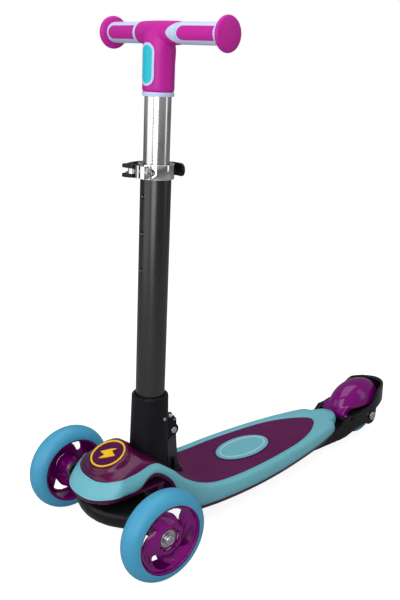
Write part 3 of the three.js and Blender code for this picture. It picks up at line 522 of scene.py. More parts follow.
# -------------------------------------------------------------------------------- finishes
@dataclass(frozen=True)
class Finish:
    """A surface finish.

    Args:
        slot: the record's material slot.
        tone: main colour, linear.
        shade: second tone of the same colour.
        edge: colour at grazing angles, or None.
        rough: lowest and highest roughness.
        metallic: share of metal.
        coat: weight of a clear coat.
        grain: scale and strength of the fine grain.
        glow: weight of light scattered below the surface.
        shine: strength of the plain reflection.
    """

    slot: str
    tone: tuple[float, float, float]
    shade: tuple[float, float, float]
    edge: tuple[float, float, float] | None = None
    rough: tuple[float, float] = (0.3, 0.36)
    metallic: float = 0.0
    coat: float = 0.0
    grain: tuple[float, float] = (900.0, 0.06)
    glow: float = 0.0
    shine: float = 0.5

    def material(self, name: str) -> bpy.types.Material:
        """Builds the finish.

        Args:
            name: the material's name.

        Returns:
            The material.
        """
        made = bpy.data.materials.new(name)
        made.use_nodes = True
        tree = made.node_tree
        surface = tree.nodes["Principled BSDF"]

        def effect(which: Effect, **values: object) -> bpy.types.Node:
            """A shared effect with its own values."""
            node = tree.nodes.new("ShaderNodeGroup")
            node.node_tree = EFFECTS[which]
            for label, value in values.items():
                node.inputs[label].default_value = value
            return node

        colour = effect(Effect.DRIFT, Tone=(*self.tone, 1), Shade=(*self.shade, 1), Scale=35.0)
        last = colour.outputs["Color"]
        if self.edge:
            facing = tree.nodes.new("ShaderNodeLayerWeight")
            facing.inputs["Blend"].default_value = 0.35
            mix = tree.nodes.new("ShaderNodeMix")
            mix.data_type = "RGBA"
            mix.inputs[7].default_value = (*self.edge, 1)
            tree.links.new(facing.outputs["Facing"], mix.inputs[0])
            tree.links.new(last, mix.inputs[6])
            last = mix.outputs[2]
        tree.links.new(last, surface.inputs["Base Color"])
        marks = effect(Effect.HANDLING, Low=self.rough[0], High=self.rough[1])
        tree.links.new(marks.outputs["Roughness"], surface.inputs["Roughness"])
        grain = effect(Effect.GRAIN, Scale=self.grain[0], Depth=self.grain[1])
        tree.links.new(grain.outputs["Normal"], surface.inputs["Normal"])
        surface.inputs["Metallic"].default_value = self.metallic
        surface.inputs["Coat Weight"].default_value = self.coat
        surface.inputs["Coat Roughness"].default_value = 0.06
        surface.inputs["Specular IOR Level"].default_value = self.shine
        if self.glow:
            surface.inputs["Subsurface Weight"].default_value = self.glow
            surface.inputs["Subsurface Radius"].default_value = (0.6, 0.2, 0.6)
            surface.inputs["Subsurface Scale"].default_value = 0.006
        return made


class Look(Enum):
    """The scooter's finishes."""

    AQUA = Finish("aqua_plastic", (0.17, 0.5, 0.58), (0.15, 0.46, 0.55),
                  rough=(0.34, 0.4), glow=0.1, shine=0.35)
    SKY = Finish("sky_tyre", (0.07, 0.38, 0.6), (0.06, 0.34, 0.56),
                 rough=(0.36, 0.44), glow=0.15, shine=0.35)
    PLUM = Finish("plum_plastic", (0.085, 0.003, 0.06), (0.065, 0.002, 0.045),
                  rough=(0.25, 0.3), coat=0.15, shine=0.2)
    PEARL = Finish("pearl_plastic", (0.12, 0.0, 0.065), (0.075, 0.0, 0.04), (0.012, 0.0, 0.01),
                   rough=(0.2, 0.26), coat=0.25, shine=0.25)
    MAT = Finish("maroon_mat", (0.115, 0.008, 0.085), (0.09, 0.006, 0.065),
                 rough=(0.42, 0.5), grain=(1500, 0.2), shine=0.15)
    MAGENTA = Finish("magenta_plastic", (0.58, 0.018, 0.36), (0.54, 0.016, 0.34),
                     rough=(0.36, 0.42), glow=0.1, shine=0.25)
    GRIP = Finish("magenta_rubber", (0.58, 0.02, 0.36), (0.54, 0.018, 0.33),
                  rough=(0.42, 0.5), grain=(1200, 0.15), glow=0.1, shine=0.2)
    PALE = Finish("pale_rubber", (0.6, 0.72, 0.95), (0.56, 0.68, 0.92),
                  rough=(0.4, 0.46), glow=0.1, shine=0.3)
    TURQUOISE = Finish("turquoise_plastic", (0.025, 0.58, 0.72), (0.02, 0.54, 0.68),
                       rough=(0.25, 0.3), glow=0.1, shine=0.3)
    GOLD = Finish("gold_plastic", (0.95, 0.56, 0.02), (0.9, 0.5, 0.015),
                  rough=(0.25, 0.3), coat=0.2, shine=0.3)
    VIOLET = Finish("violet_plastic", (0.27, 0.0, 0.22), (0.19, 0.0, 0.16), (0.06, 0.0, 0.07),
                    rough=(0.12, 0.18), coat=0.35, glow=0.25, shine=0.2)
    BLACK = Finish("black_plastic", (0.005, 0.005, 0.006), (0.008, 0.008, 0.009),
                   rough=(0.22, 0.28), coat=0.1, shine=0.2)
    SLEEVE = Finish("black_satin", (0.006, 0.006, 0.008), (0.009, 0.009, 0.011),
                    rough=(0.42, 0.5), grain=(1400, 0.25), shine=0.15)
    PAINT = Finish("black_paint", (0.005, 0.005, 0.006), (0.007, 0.007, 0.008),
                   rough=(0.24, 0.3), grain=(1600, 0.06), shine=0.9)
    STEEL = Finish("steel", (0.6, 0.6, 0.62), (0.52, 0.52, 0.54), rough=(0.24, 0.34), metallic=1.0)
    SPRING = Finish("spring_steel", (0.62, 0.62, 0.64), (0.5, 0.5, 0.52),
                    rough=(0.2, 0.3), metallic=1.0)
    ALLOY = Finish("alloy", (0.86, 0.86, 0.88), (0.8, 0.8, 0.82),
                   rough=(0.16, 0.22), metallic=1.0, grain=(2200, 0.05))
    CHROME = Finish("chrome", (0.9, 0.9, 0.92), (0.86, 0.86, 0.88),
                    rough=(0.06, 0.12), metallic=1.0, grain=(900, 0.02))


MATERIALS: dict[Look, bpy.types.Material] = {
    look: look.value.material(look.name.lower()) for look in Look
}
BY_SLOT: dict[str, Look] = {look.value.slot: look for look in Look}


# ---------------------------------------------------------------------------------- making
def shown(name: str, data: bpy.types.ID) -> bpy.types.Object:
    """A new object in the scene that holds a mesh, a light or a camera."""
    obj = bpy.data.objects.new(name, data)
    bpy.context.scene.collection.objects.link(obj)
    return obj


def piece(
    name: str, shell: Shell, place: Matrix, body: str, look: Look,
    stands_for: Sequence[str] = (), bevel: float = 0.0, sharp: float = 40.0,
) -> bpy.types.Object:
    """Makes one piece of the scooter.

    Args:
        name: the piece's name.
        shell: its surface in millimetres.
        place: the frame in which it is drawn.
        body: the CAD body that carries it.
        look: its finish.
        stands_for: the CAD nodes that it replaces.
        bevel: width of the rounding on its sharp edges, in millimetres.
        sharp: angle above which an edge looks sharp, in degrees.

    Returns:
        The object.
    """
    return dressed(name, plain_mesh(shell, place, name), body, look, stands_for, bevel, sharp)


def dressed(
    name: str, mesh: bpy.types.Mesh, body: str, look: Look,
    stands_for: Sequence[str] = (), bevel: float = 0.0, sharp: float = 40.0,
) -> bpy.types.Object:
    """Gives a finished mesh its object, finish and body.

    Args:
        name: the piece's name.
        mesh: the mesh, in the CAD frame.
        body: the CAD body that carries it.
        look: its finish.
        stands_for: the CAD nodes that it replaces.
        bevel: width of the rounding on its sharp edges, in millimetres.
        sharp: angle above which an edge looks sharp, in degrees.

    Returns:
        The object.
    """
    obj = shown(name, mesh)
    mesh.materials.clear()
    mesh.materials.append(MATERIALS[look])
    soften(obj, bevel, sharp)
    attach(obj, body)
    if stands_for:
        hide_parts(*stands_for)
    LOG.info("%s: %d faces on %s", name, len(mesh.polygons), body)
    return obj


def soften(obj: bpy.types.Object, bevel: float, sharp: float) -> None:
    """Smooth shading with sharp edges kept, and a small rounding on them.

    Args:
        obj: the object.
        bevel: width of the rounding, in millimetres.
        sharp: angle above which an edge is sharp, in degrees.
    """
    mesh = obj.data
    mesh.polygons.foreach_set("use_smooth", [True] * len(mesh.polygons))
    mesh.set_sharp_from_angle(angle=math.radians(sharp))
    if bevel:
        rounding = obj.modifiers.new("rounding", "BEVEL")
        rounding.width = bevel * MM
        rounding.segments = 3
        rounding.limit_method = "ANGLE"
        rounding.angle_limit = math.radians(35)
        rounding.harden_normals = True


def worked(mesh: bpy.types.Mesh, prepare: Callable[[bpy.types.Object], None]) -> bpy.types.Mesh:
    """Runs modifiers over a mesh and returns the result as a new mesh.

    Args:
        mesh: the mesh to work on.
        prepare: adds the modifiers to an object that holds it.

    Returns:
        The new mesh.
    """
    obj = shown("work", mesh)
    prepare(obj)
    seen = obj.evaluated_get(bpy.context.evaluated_depsgraph_get())
    made = bpy.data.meshes.new_from_object(seen)
    bpy.data.objects.remove(obj)
    return made


def plain_mesh(shell: Shell, place: Matrix, name: str = "plain") -> bpy.types.Mesh:
    """A shell as a mesh in the CAD frame.

    Args:
        shell: the shell.
        place: the frame in which it is drawn.
        name: the mesh's name.

    Returns:
        The mesh.
    """
    mesh = bpy.data.meshes.new(name)
    bm = shell.bm()
    bm.transform(place)
    bm.to_mesh(mesh)
    bm.free()
    return mesh


def moulded(mesh: bpy.types.Mesh, voxel: float, rounds: int) -> bpy.types.Mesh:
    """Melts overlapping solids into one skin with soft inside corners.

    Args:
        mesh: closed solids, in the CAD frame.
        voxel: size of the new faces, in millimetres.
        rounds: how often the skin is smoothed.

    Returns:
        The new mesh.
    """
    def prepare(obj: bpy.types.Object) -> None:
        """Adds the remeshing and smoothing."""
        skinned = obj.modifiers.new("skin", "REMESH")
        skinned.mode = "VOXEL"
        skinned.voxel_size = voxel * MM
        skinned.use_smooth_shade = True
        calm = obj.modifiers.new("calm", "SMOOTH")
        calm.factor = 0.6
        calm.iterations = rounds

    return worked(mesh, prepare)


def combined(
    mesh: bpy.types.Mesh, place: Matrix, operation: str, *tools: Shell,
) -> bpy.types.Mesh:
    """Adds closed shells to a mesh, cuts them out of it, or keeps what lies inside them.

    Args:
        mesh: the mesh, in the CAD frame.
        place: the frame in which the tools are drawn.
        operation: UNION, DIFFERENCE or INTERSECT.
        tools: the shells.

    Returns:
        The new mesh.
    """
    others = [shown("tool", plain_mesh(tool, place)) for tool in tools]

    def prepare(obj: bpy.types.Object) -> None:
        """Adds one modifier for each tool."""
        for other in others:
            step = obj.modifiers.new("step", "BOOLEAN")
            step.operation = operation
            step.solver = "EXACT"
            step.object = other

    made = worked(mesh, prepare)
    for other in others:
        bpy.data.objects.remove(other)
    return made


def carved(mesh: bpy.types.Mesh, place: Matrix, *tools: Shell) -> bpy.types.Mesh:
    """Cuts closed shells out of a mesh."""
    return combined(mesh, place, "DIFFERENCE", *tools)


# -------------------------------------------------------------------------------- the deck
@dataclass
class Deck:
    """The boat-shaped deck: its band, tray, mat and badge.

    Args:
        stations: from nose to tail, the band's lower edge, upper edge and the edge of its panel.
        wall: thickness of the band.
        steps: points along one side.
        badge: middle, half length and half width of the badge.
        mat_front: the mat's first forward position.
        mat_tip: its last forward position.
        ridge: distance between two ridges of the mat, and their height.
    """

    stations: tuple = (
        ((46, 0, 86.5), (31, 0, 104), (29.5, 0, 105)),
        ((46, 24, 87), (31, 20, 104.5), (29.5, 19.5, 105.5)),
        ((41.5, 39, 89), (27.5, 34.5, 107), (26.5, 33.5, 108)),
        ((29.5, 47.5, 90.5), (17, 43, 109.5), (16.5, 42, 110)),
        ((10, 49, 91), (2, 44, 110.5), (2, 43, 111)),
        ((-4, 49, 91), (-10, 44.5, 112), (-10, 43.5, 112.5)),
        ((-12, 49, 94), (-19, 45, 114.5), (-19, 44, 115)),
        ((-20, 49, 101), (-28, 45, 116.5), (-28, 44, 117)),
        ((-31, 49, 105.5), (-40, 45, 114.5), (-40, 44, 115)),
        ((-43, 49.5, 101), (-52, 46, 106.5), (-52, 44.5, 106)),
        ((-58, 51, 87), (-65, 47.5, 96), (-65, 44.5, 95)),
        ((-67, 52.5, 68), (-77, 50, 83.5), (-77, 44, 82.5)),
        ((-78, 55, 47), (-92, 53, 72.5), (-92, 45, 71.5)),
        ((-94, 58.5, 37), (-110, 56, 63.5), (-110, 47, 62.5)),
        ((-118, 60.5, 34), (-130, 58, 57.5), (-130, 48.5, 56.5)),
        ((-158, 62.5, 33), (-160, 60, 54.5), (-160, 50, 53.5)),
        ((-205, 62.5, 33), (-205, 60, 54), (-205, 50.5, 53)),
        ((-256, 59.5, 34), (-256, 57, 54), (-256, 47, 53)),
        ((-311, 53, 36), (-311, 50.5, 54), (-311, 39, 53)),
        ((-352, 45.5, 37), (-351, 43, 54), (-347, 26, 53)),
        ((-394, 33, 38.5), (-392, 31, 54), (-366, 14, 53)),
        ((-401, 24, 38.5), (-398, 22, 54), (-372, 9, 53)),
        ((-419, 13, 38.5), (-416, 12, 54), (-375, 4, 53)),
        ((-424, 0, 38.5), (-421, 0, 54), (-376, 0, 53)),
    )
    wall: float = 3.6
    steps: int = 150
    badge: tuple[float, float, float] = (-228, 46, 26.5)
    mat_front: float = -79
    mat_tip: float = -374.8
    ridge: tuple[float, float] = (4.4, 0.9)

    def edge(self, which: int) -> Row:
        """One of the three edges on the left side, from nose to tail."""
        line = smooth_line([Vector(station[which]) for station in self.stations], self.steps)
        return [self.rounder(p) for p in line]

    @staticmethod
    def rounder(spot: Vector) -> Vector:
        """Rounds the front of the nose: its middle a little forward and its corners a little back."""
        share = min(1.0, max(0.0, (spot.x + 10) / 45))
        share = share * share * (3 - 2 * share)
        return spot + Vector((share * (6.5 - 11 * min(1.0, abs(spot.y) / 40) ** 2), 0, 0))

    @staticmethod
    def all_round(line: Row) -> Row:
        """Carries an edge on round the right side."""
        return line + [Vector((p.x, -p.y, p.z)) for p in reversed(line[1:-1])]

    def inward(self, line: Row) -> Row:
        """For each point of the band, the level direction into the deck."""
        made = []
        for i, p in enumerate(line):
            along = line[(i + 1) % len(line)] - line[i - 1]
            way = Vector((along.y, -along.x, 0)).normalized()
            made.append(-way if way.dot(Vector((-200 - p.x, -p.y, 0))) < 0 else way)
        return made

    def panel(self) -> tuple[Line, Line]:
        """Half width and height of the framed panel, as tables by forward position."""
        line = self.edge(2)
        return [(p.x, p.y) for p in line], [(p.x, p.z) for p in line]

    def band(self) -> Shell:
        """The rounded band: a soft outer face, a rolled top and an inner lip."""
        low, top, lip = (self.all_round(self.edge(k)) for k in range(3))
        ways = self.inward(low)
        rows = []
        for a, b, c, way in zip(low, top, lip, ways):
            out = a.lerp(b, 0.5) - way * 1.5
            crest = b.lerp(c, 0.5) + Vector((0, 0, 0.5))
            section = [
                a + way * 0.8, a + Vector((0, 0, 0.7)), a.lerp(out, 0.5) - way * 0.5, out,
                out.lerp(b, 0.5) - way * 0.4, b - Vector((0, 0, 0.9)),
                b.lerp(crest, 0.35) + Vector((0, 0, 0.2)), crest, c + (b - c) * 0.12,
                c - Vector((0, 0, 0.6)), c - Vector((0, 0, 4)),
                b + way * self.wall - Vector((0, 0, 4.5)), a + way * self.wall,
            ]
            rows.append(section)
        return skin(rows, loop_rows=True)

    def lip(self) -> Shell:
        """Dark lip of the tray that shows below the band."""
        low = self.all_round(self.edge(0))
        rows = []
        for a, way in zip(low, self.inward(low)):
            outer = a + way * 0.3 - Vector((0, 0, 0.3))
            rows.append([
                outer + way * 6, outer, outer + way * 0.2 - Vector((0, 0, 1.6)),
                outer + way * 1.3 - Vector((0, 0, 4.4)), outer + way * 2.4 - Vector((0, 0, 5.4)),
                outer + way * 6 - Vector((0, 0, 5.4)),
            ])
        return skin(rows, loop_rows=True)

    def mat(self) -> Shell:
        """Rubber mat with ridges that run round the badge, each one wider than the last."""
        halves, rims = self.panel()
        middle, long, wide = self.badge
        pitch, rise = self.ridge
        rows, long_steps, wide_steps = [], 420, 150
        for i in range(long_steps + 1):
            x = self.mat_front + (self.mat_tip - self.mat_front) * i / long_steps
            half = max(reading(halves, x) - 0.5, 0.6)
            rim = reading(rims, x) - 0.2
            deep = 1.0 if x < -112 else 0.7
            row = []
            for j in range(wide_steps + 1):
                y = half * (2 * j / wide_steps - 1)
                around = math.hypot((x - middle) / long, y / wide)
                out = (around - 1) * wide
                fade = min(1.0, max(0.0, (half - abs(y)) / 1.5), max(0.0, (x - self.mat_tip) / 3))
                z = rim + max(0.0, 1 - (y / half) ** 2) ** 0.75
                if out < 1.6:
                    z = rim - 0.4
                elif out > 3.4:
                    wave = abs(math.sin(math.pi * (out - 3.4) / pitch)) ** 0.6 - 0.5
                    z += rise * fade * wave * deep
                row.append(Vector((x, y, z)))
            rows.append(row)

        def kept(spot: Vector) -> bool:
            """Whether a face stays clear of the stem's foot and of the hinge."""
            foot = math.hypot(spot.x + 57.2, spot.y) > 28
            return foot and not (spot.x > -108.5 and abs(spot.y) < 13.6)

        return thick(skin(rows, loop_ring=False).trimmed(kept), 2.6)

    def badge_plate(self, low: float, profile: Profile) -> Shell:
        """Oval plate from a profile of (distance inside its edge, height)."""
        middle, long, wide = self.badge
        rows = [[Vector((middle + (long - inset) * math.cos(t), (wide - inset) * math.sin(t), low + height))
                 for t in angles(FINE)] for inset, height in profile]
        return skin(rows, caps=True)

    def build(self) -> None:
        """Makes and dresses the deck."""
        place = drawing_place()
        piece("rim_band", self.band(), place, "deck", Look.AQUA, ["deck_rim"], sharp=50)
        piece("tray_lip", self.lip(), place, "deck", Look.PLUM)
        piece("foot_mat", self.mat(), place, "deck", Look.MAT, ["deck_mat"], sharp=60)
        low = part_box("deck_badge")[0].z / MM
        plate = [(0.6, 0), (0, 0.3), (0, 1.5), (0.5, 1.9), (2.2, 1.9), (2.7, 1.5), (3.6, 1.5), (3.9, 1.7),
                 (12, 1.8), (20, 1.85)]
        line = [(5.4, 1.0), (5.4, 2.05), (5.7, 2.15), (6.6, 2.15), (6.9, 2.05), (6.9, 1.0)]
        piece("badge_plate", self.badge_plate(low, plate), place, "deck", Look.AQUA, ["deck_badge"],
              sharp=30)
        piece("badge_line", self.badge_plate(low, line), place, "deck", Look.PALE, sharp=30)


@dataclass
class Nose:
    """Pearly cover in front of the stem, with its round emblem.

    Args:
        deck: the deck whose band frames the cover.
        ridge: height of the cover's middle line by forward position.
        emblem: forward position, height, tilt and radius of the emblem.
        mark: outline of the emblem's zigzag.
        ends: the cover's first and last forward positions.
    """

    deck: Deck
    ridge: tuple = ((36, 105.5), (34, 108.5), (27, 114), (17, 119.5), (5, 125), (-6, 130.2), (-15, 133.6),
                    (-21, 132.4), (-30, 125.5), (-42, 117.5), (-52, 110), (-62, 100.5), (-75, 85))
    emblem: tuple[float, float, float, float] = (5, 127, 21, 24)
    mark: tuple = ((-3, 14), (-7, 1.5), (-14.5, 4.5), (-9, -3), (4, -14.5), (5, -2.5), (14.5, -5),
                   (8, 3.5))
    ends: tuple[float, float] = (36.2, -75)

    def cover(self) -> Shell:
        """The domed cover, open where the stem's foot and hinge pass through it."""
        halves, rims = self.deck.panel()
        front, back = self.ends
        rows, count, wide = [], 110, 72
        for i in range(count + 1):
            x = front + (back - front) * (i / count) ** 1.4
            half = max(reading(halves, x) + 0.4, 1.0)
            rim = reading(rims, x) - 0.2
            rise = max(reading(self.ridge, x) - rim, 0.3)
            rows.append([Vector((x, half * math.sin(math.pi / 2 * s),
                                 rim + rise * max(0.0, 1 - math.sin(math.pi / 2 * s) ** 2) ** 0.75))
                         for s in (2 * j / wide - 1 for j in range(wide + 1))])

        def kept(spot: Vector) -> bool:
            """Whether a face stays clear of the folding stem."""
            axis = STEM_FOOT - spot.z * 0.0547
            return math.hypot(spot.x - axis, spot.y) > 27 and not (spot.x < axis and abs(spot.y) < 26)

        return thick(calmed(skin(rows, loop_ring=False).trimmed(kept).bm(), 6), 2.2)

    def build(self) -> None:
        """Makes and dresses the nose."""
        place = drawing_place()
        x, z, tilt, radius = self.emblem
        face = place @ Matrix.Translation((x, 0, z)) @ Matrix.Rotation(math.radians(tilt), 4, "Y")
        seat = turned(eased([(0, -9), (radius + 7.5, -9), (radius + 5.0, -3.6), (radius + 2.2, -0.9),
                             (radius - 2, -0.6), (0, -0.6)], 2.5))
        cover = self.cover().add(seat.moved(place.inverted() @ face))
        shell = carved(moulded(plain_mesh(cover, place), 0.9, 10), face, rod(radius + 0.1, -2.6, 6))
        dressed("nose_shell", shell, "deck", Look.PEARL, ["nose_cover"], sharp=50)
        disc = turned(eased([(0, -2.2), (radius - 0.2, -2.2), (radius - 0.2, -0.9), (0, -0.9)], 0.4))
        piece("emblem_disc", disc, face, "deck", Look.PLUM, ["nose_emblem"])
        border = turned(eased([(radius - 3.1, -1), (radius - 0.4, -1), (radius - 0.5, 0.3),
                               (radius - 2.8, 0.3)], 0.5, closed=True), closed=True)
        piece("emblem_border", border, face, "deck", Look.GOLD)
        piece("emblem_mark", prism([(0.86 * a, 0.86 * b) for a, b in self.mark], -0.95, 0.3), face, "deck",
              Look.GOLD, bevel=0.4)


# ------------------------------------------------------------------------ wheels and truck
@dataclass
class Wheel:
    """A wheel: tyre, hub and bearings.

    Args:
        side: which wheel: left, right or rear.
        hand: 1 when its outer face looks to the left, else -1.
        windows: number of openings in its hub.
        bearing: outer radius of a bearing.
        wall: thickness of the barrel round the bearings.
        turn: angle by which the openings are turned.
    """

    side: str
    hand: int
    windows: int = 4
    bearing: float = 11.0
    wall: float = 3.6
    turn: float = 0.5

    def __post_init__(self) -> None:
        """Takes the wheel's sizes from the frame."""
        self.front = self.side != "rear"
        tyre = f"front_tyre_{self.side}" if self.front else "rear_tyre"
        low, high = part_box(tyre)
        self.tyre_node = tyre
        self.radius = (high.z - low.z) / 2 / MM
        self.half = (high.y - low.y) / 2 / MM
        self.seat = 46 if self.front else 28
        self.body = f"front_wheel_{self.side}" if self.front else "rear_wheel"
        self.place = across_node(tyre)

    def tyre(self) -> Shell:
        """Tyre with a round tread, flatter on the small rear wheel."""
        reach, power = (self.half * 0.94, 1.0) if self.front else (5.0, 0.35)
        crown = self.radius - reach
        profile = [(self.seat, self.half - 2.2), (self.seat + 1.2, self.half - 1.0)]
        profile += [(crown + reach * abs(math.cos(t)) ** power, self.half * math.sin(t))
                    for t in (math.pi / 2 - math.pi * i / 28 for i in range(29))]
        profile += [(self.seat + 1.2, 1.0 - self.half), (self.seat, 2.2 - self.half)]
        return turned(profile, closed=True, sides=128)

    def web(self, inner: float, outer: float, deep: float) -> Shell:
        """Dished web of curved spokes with a window between each two."""
        spokes, columns, count = max(self.windows, 4), 30, 44
        rows = []
        opening = (inner + 7.0, outer - 1.4)
        for i in range(count + 1):
            r = inner + (outer - inner) * i / count
            gone = (r - inner) / (outer - inner)
            share = (r - opening[0]) / (opening[1] - opening[0])
            gape = 0.0
            if 0 < share < 1 and self.windows:
                gape = 0.43 * share**0.5 * (1 - share**9) ** 0.5
            dish = deep * math.cos(2 * math.pi * gone * 0.92) - deep
            swirl = 0.95 * gone
            row = []
            for k in range(spokes):
                for c in range(columns + 1):
                    u = c / columns
                    width = 2 * math.pi / spokes
                    angle = k * width + gape + (width - 2 * gape) * u + swirl + self.turn
                    rib = 1.7 * math.exp(-((u - 0.14) / 0.1) ** 2)
                    rib += 1.3 * math.exp(-((u - 0.62) / 0.12) ** 2)
                    rib *= math.sin(math.pi * gone) ** 0.5 if inner < r < outer else 0
                    z = self.half - 6 + dish + rib
                    row.append(Vector((r * math.cos(angle), r * math.sin(angle), z)))
            rows.append(row)
        shell = skin(rows, loop_ring=False)
        wide = spokes * (columns + 1)
        shell.faces = [f for f in shell.faces if (f[0] % wide) % (columns + 1) != columns]
        made = thick(shell, 2.8)
        return made if self.hand > 0 else made.moved(Matrix.Scale(-1, 4, (0, 0, 1)))

    def hub(self) -> Shell:
        """Hub: rim ring, web and bearing barrel."""
        rim = self.seat - 0.3
        face = self.half - 1.4
        barrel = self.bearing + self.wall
        ring = [(rim - 4.4, -face + 0.6), (rim - 3.2, -face), (rim, -face), (rim, face),
                (rim - 2.6, face), (rim - 4.2, face - 5)]
        core = [(self.bearing + 0.3, -face + 2.5), (barrel, -face + 2.5), (barrel + 1, 2),
                (barrel + 1.6, face - 6), (barrel - 1.0, face - 3.2), (self.bearing + 0.3, face - 3.2)]
        shell = Shell()
        for profile in (ring, core):
            soft = eased(profile, 0.8, closed=True)
            shell.add(turned([(r, z * self.hand) for r, z in soft], closed=True))
        return shell.add(self.web(barrel + 0.6, rim - 3.6, 3.2 if self.front else 1.2))

    def bearing_ring(self, low: float) -> Shell:
        """Ball bearing: two races and a sunken shield."""
        high = low + 7
        return turned([(4.2, low), (4.2, high), (6.4, high), (6.6, high - 0.5), (9.2, high - 0.5),
                       (9.4, high), (11, high), (11, low), (9.4, low), (9.2, low + 0.5),
                       (6.6, low + 0.5), (6.4, low)], closed=True)

    def build(self) -> None:
        """Makes and dresses the wheel."""
        hub_node = f"front_hub_{self.side}" if self.front else "rear_hub"
        piece(f"{self.side}_tyre", self.tyre(), self.place, self.body, Look.SKY, [self.tyre_node])
        piece(f"{self.side}_hub", self.hub(), self.place, self.body, Look.VIOLET, [hub_node], sharp=35)
        pairs = {f"bearing_outer_{self.side}": self.hand, f"bearing_inner_{self.side}": -self.hand}
        if not self.front:
            pairs = {"rear_bearing_left": 1, "rear_bearing_right": -1}
        for node, way in pairs.items():
            piece(f"{node}_race", self.bearing_ring(2.9 if way > 0 else -9.9), self.place, self.body,
                  Look.STEEL, [node], sharp=30)


@dataclass
class Truck:
    """Lean-steering truck: the black bowl, and the wheel bolts.

    Args:
        sections: half width, front, back, top and bottom at places across the truck.
    """

    sections: tuple = ((0, 41, -38, 73, 38), (16, 39.5, -37, 73, 38.5), (32, 35, -32, 72.5, 40.5),
                       (48, 27, -26, 72, 43.5), (62, 19, -19, 71.5, 46.5), (76, 13.5, -13.5, 71, 48.5),
                       (87.5, 11.5, -11.5, 71, 49))

    def beam(self) -> Shell:
        """Bowl-shaped beam with a soft crease along its middle."""
        tables = [[(-s[0], s[k]) for s in self.sections] for k in range(1, 5)]
        rows, count, around = [], 120, 72
        for i in range(count + 1):
            y = self.sections[-1][0] * (2 * i / count - 1)
            front, back, top, bottom = (reading(table, -abs(y)) for table in tables)
            middle = (top + bottom) / 2 + 2.5
            row = []
            for t in angles(around):
                c, s = math.cos(t), math.sin(t)
                x = (front + back) / 2 + (front - back) / 2 * math.copysign(abs(c) ** 0.72, c)
                z = middle + ((top - middle) * abs(s) ** 0.72 if s > 0
                              else -(middle - bottom) * abs(s) ** 0.9)
                row.append(Vector((x, y, z)))
            rows.append(row)
        return calmed(skin(rows, caps=True).bm(), 8, sideways=False)

    @staticmethod
    def socket_bolt(hand: int) -> Shell:
        """Wheel bolt: washer, round head and hexagon socket."""
        head = [(0.1, -45), (3.9, -45), (3.9, 10.2), (7.4, 10.2), (7.4, 10.9), (6.2, 11), (6.2, 14.2),
                (5.6, 15)]
        recess = [(3.2, 15), (3.0, 14.6), (3.0, 12), (0.1, 11.6)]
        rows = hexed([(r, z * hand, False) for r, z in head] + [(r, z * hand, True) for r, z in recess])
        return skin(rows, caps=True)

    def build(self) -> None:
        """Makes and dresses the truck and its bolts."""
        piece("truck_bowl", self.beam(), drawing_place(), "truck", Look.BLACK, ["truck_beam"], sharp=60)
        for side, hand in (("left", 1), ("right", -1)):
            place = across_node(f"front_tyre_{side}")
            piece(f"wheel_bolt_{side}", self.socket_bolt(hand), place, "truck", Look.STEEL,
                  [f"axle_bolt_{side}"], sharp=35)
            low, high = sorted((-19.1 * hand, -10.3 * hand))
            ring = eased([(4.2, low), (8, low), (8, high), (4.2, high)], 0.5, closed=True)
            piece(f"spacer_{side}", turned(ring, closed=True), place, "truck", Look.STEEL,
                  [f"axle_spacer_{side}"])


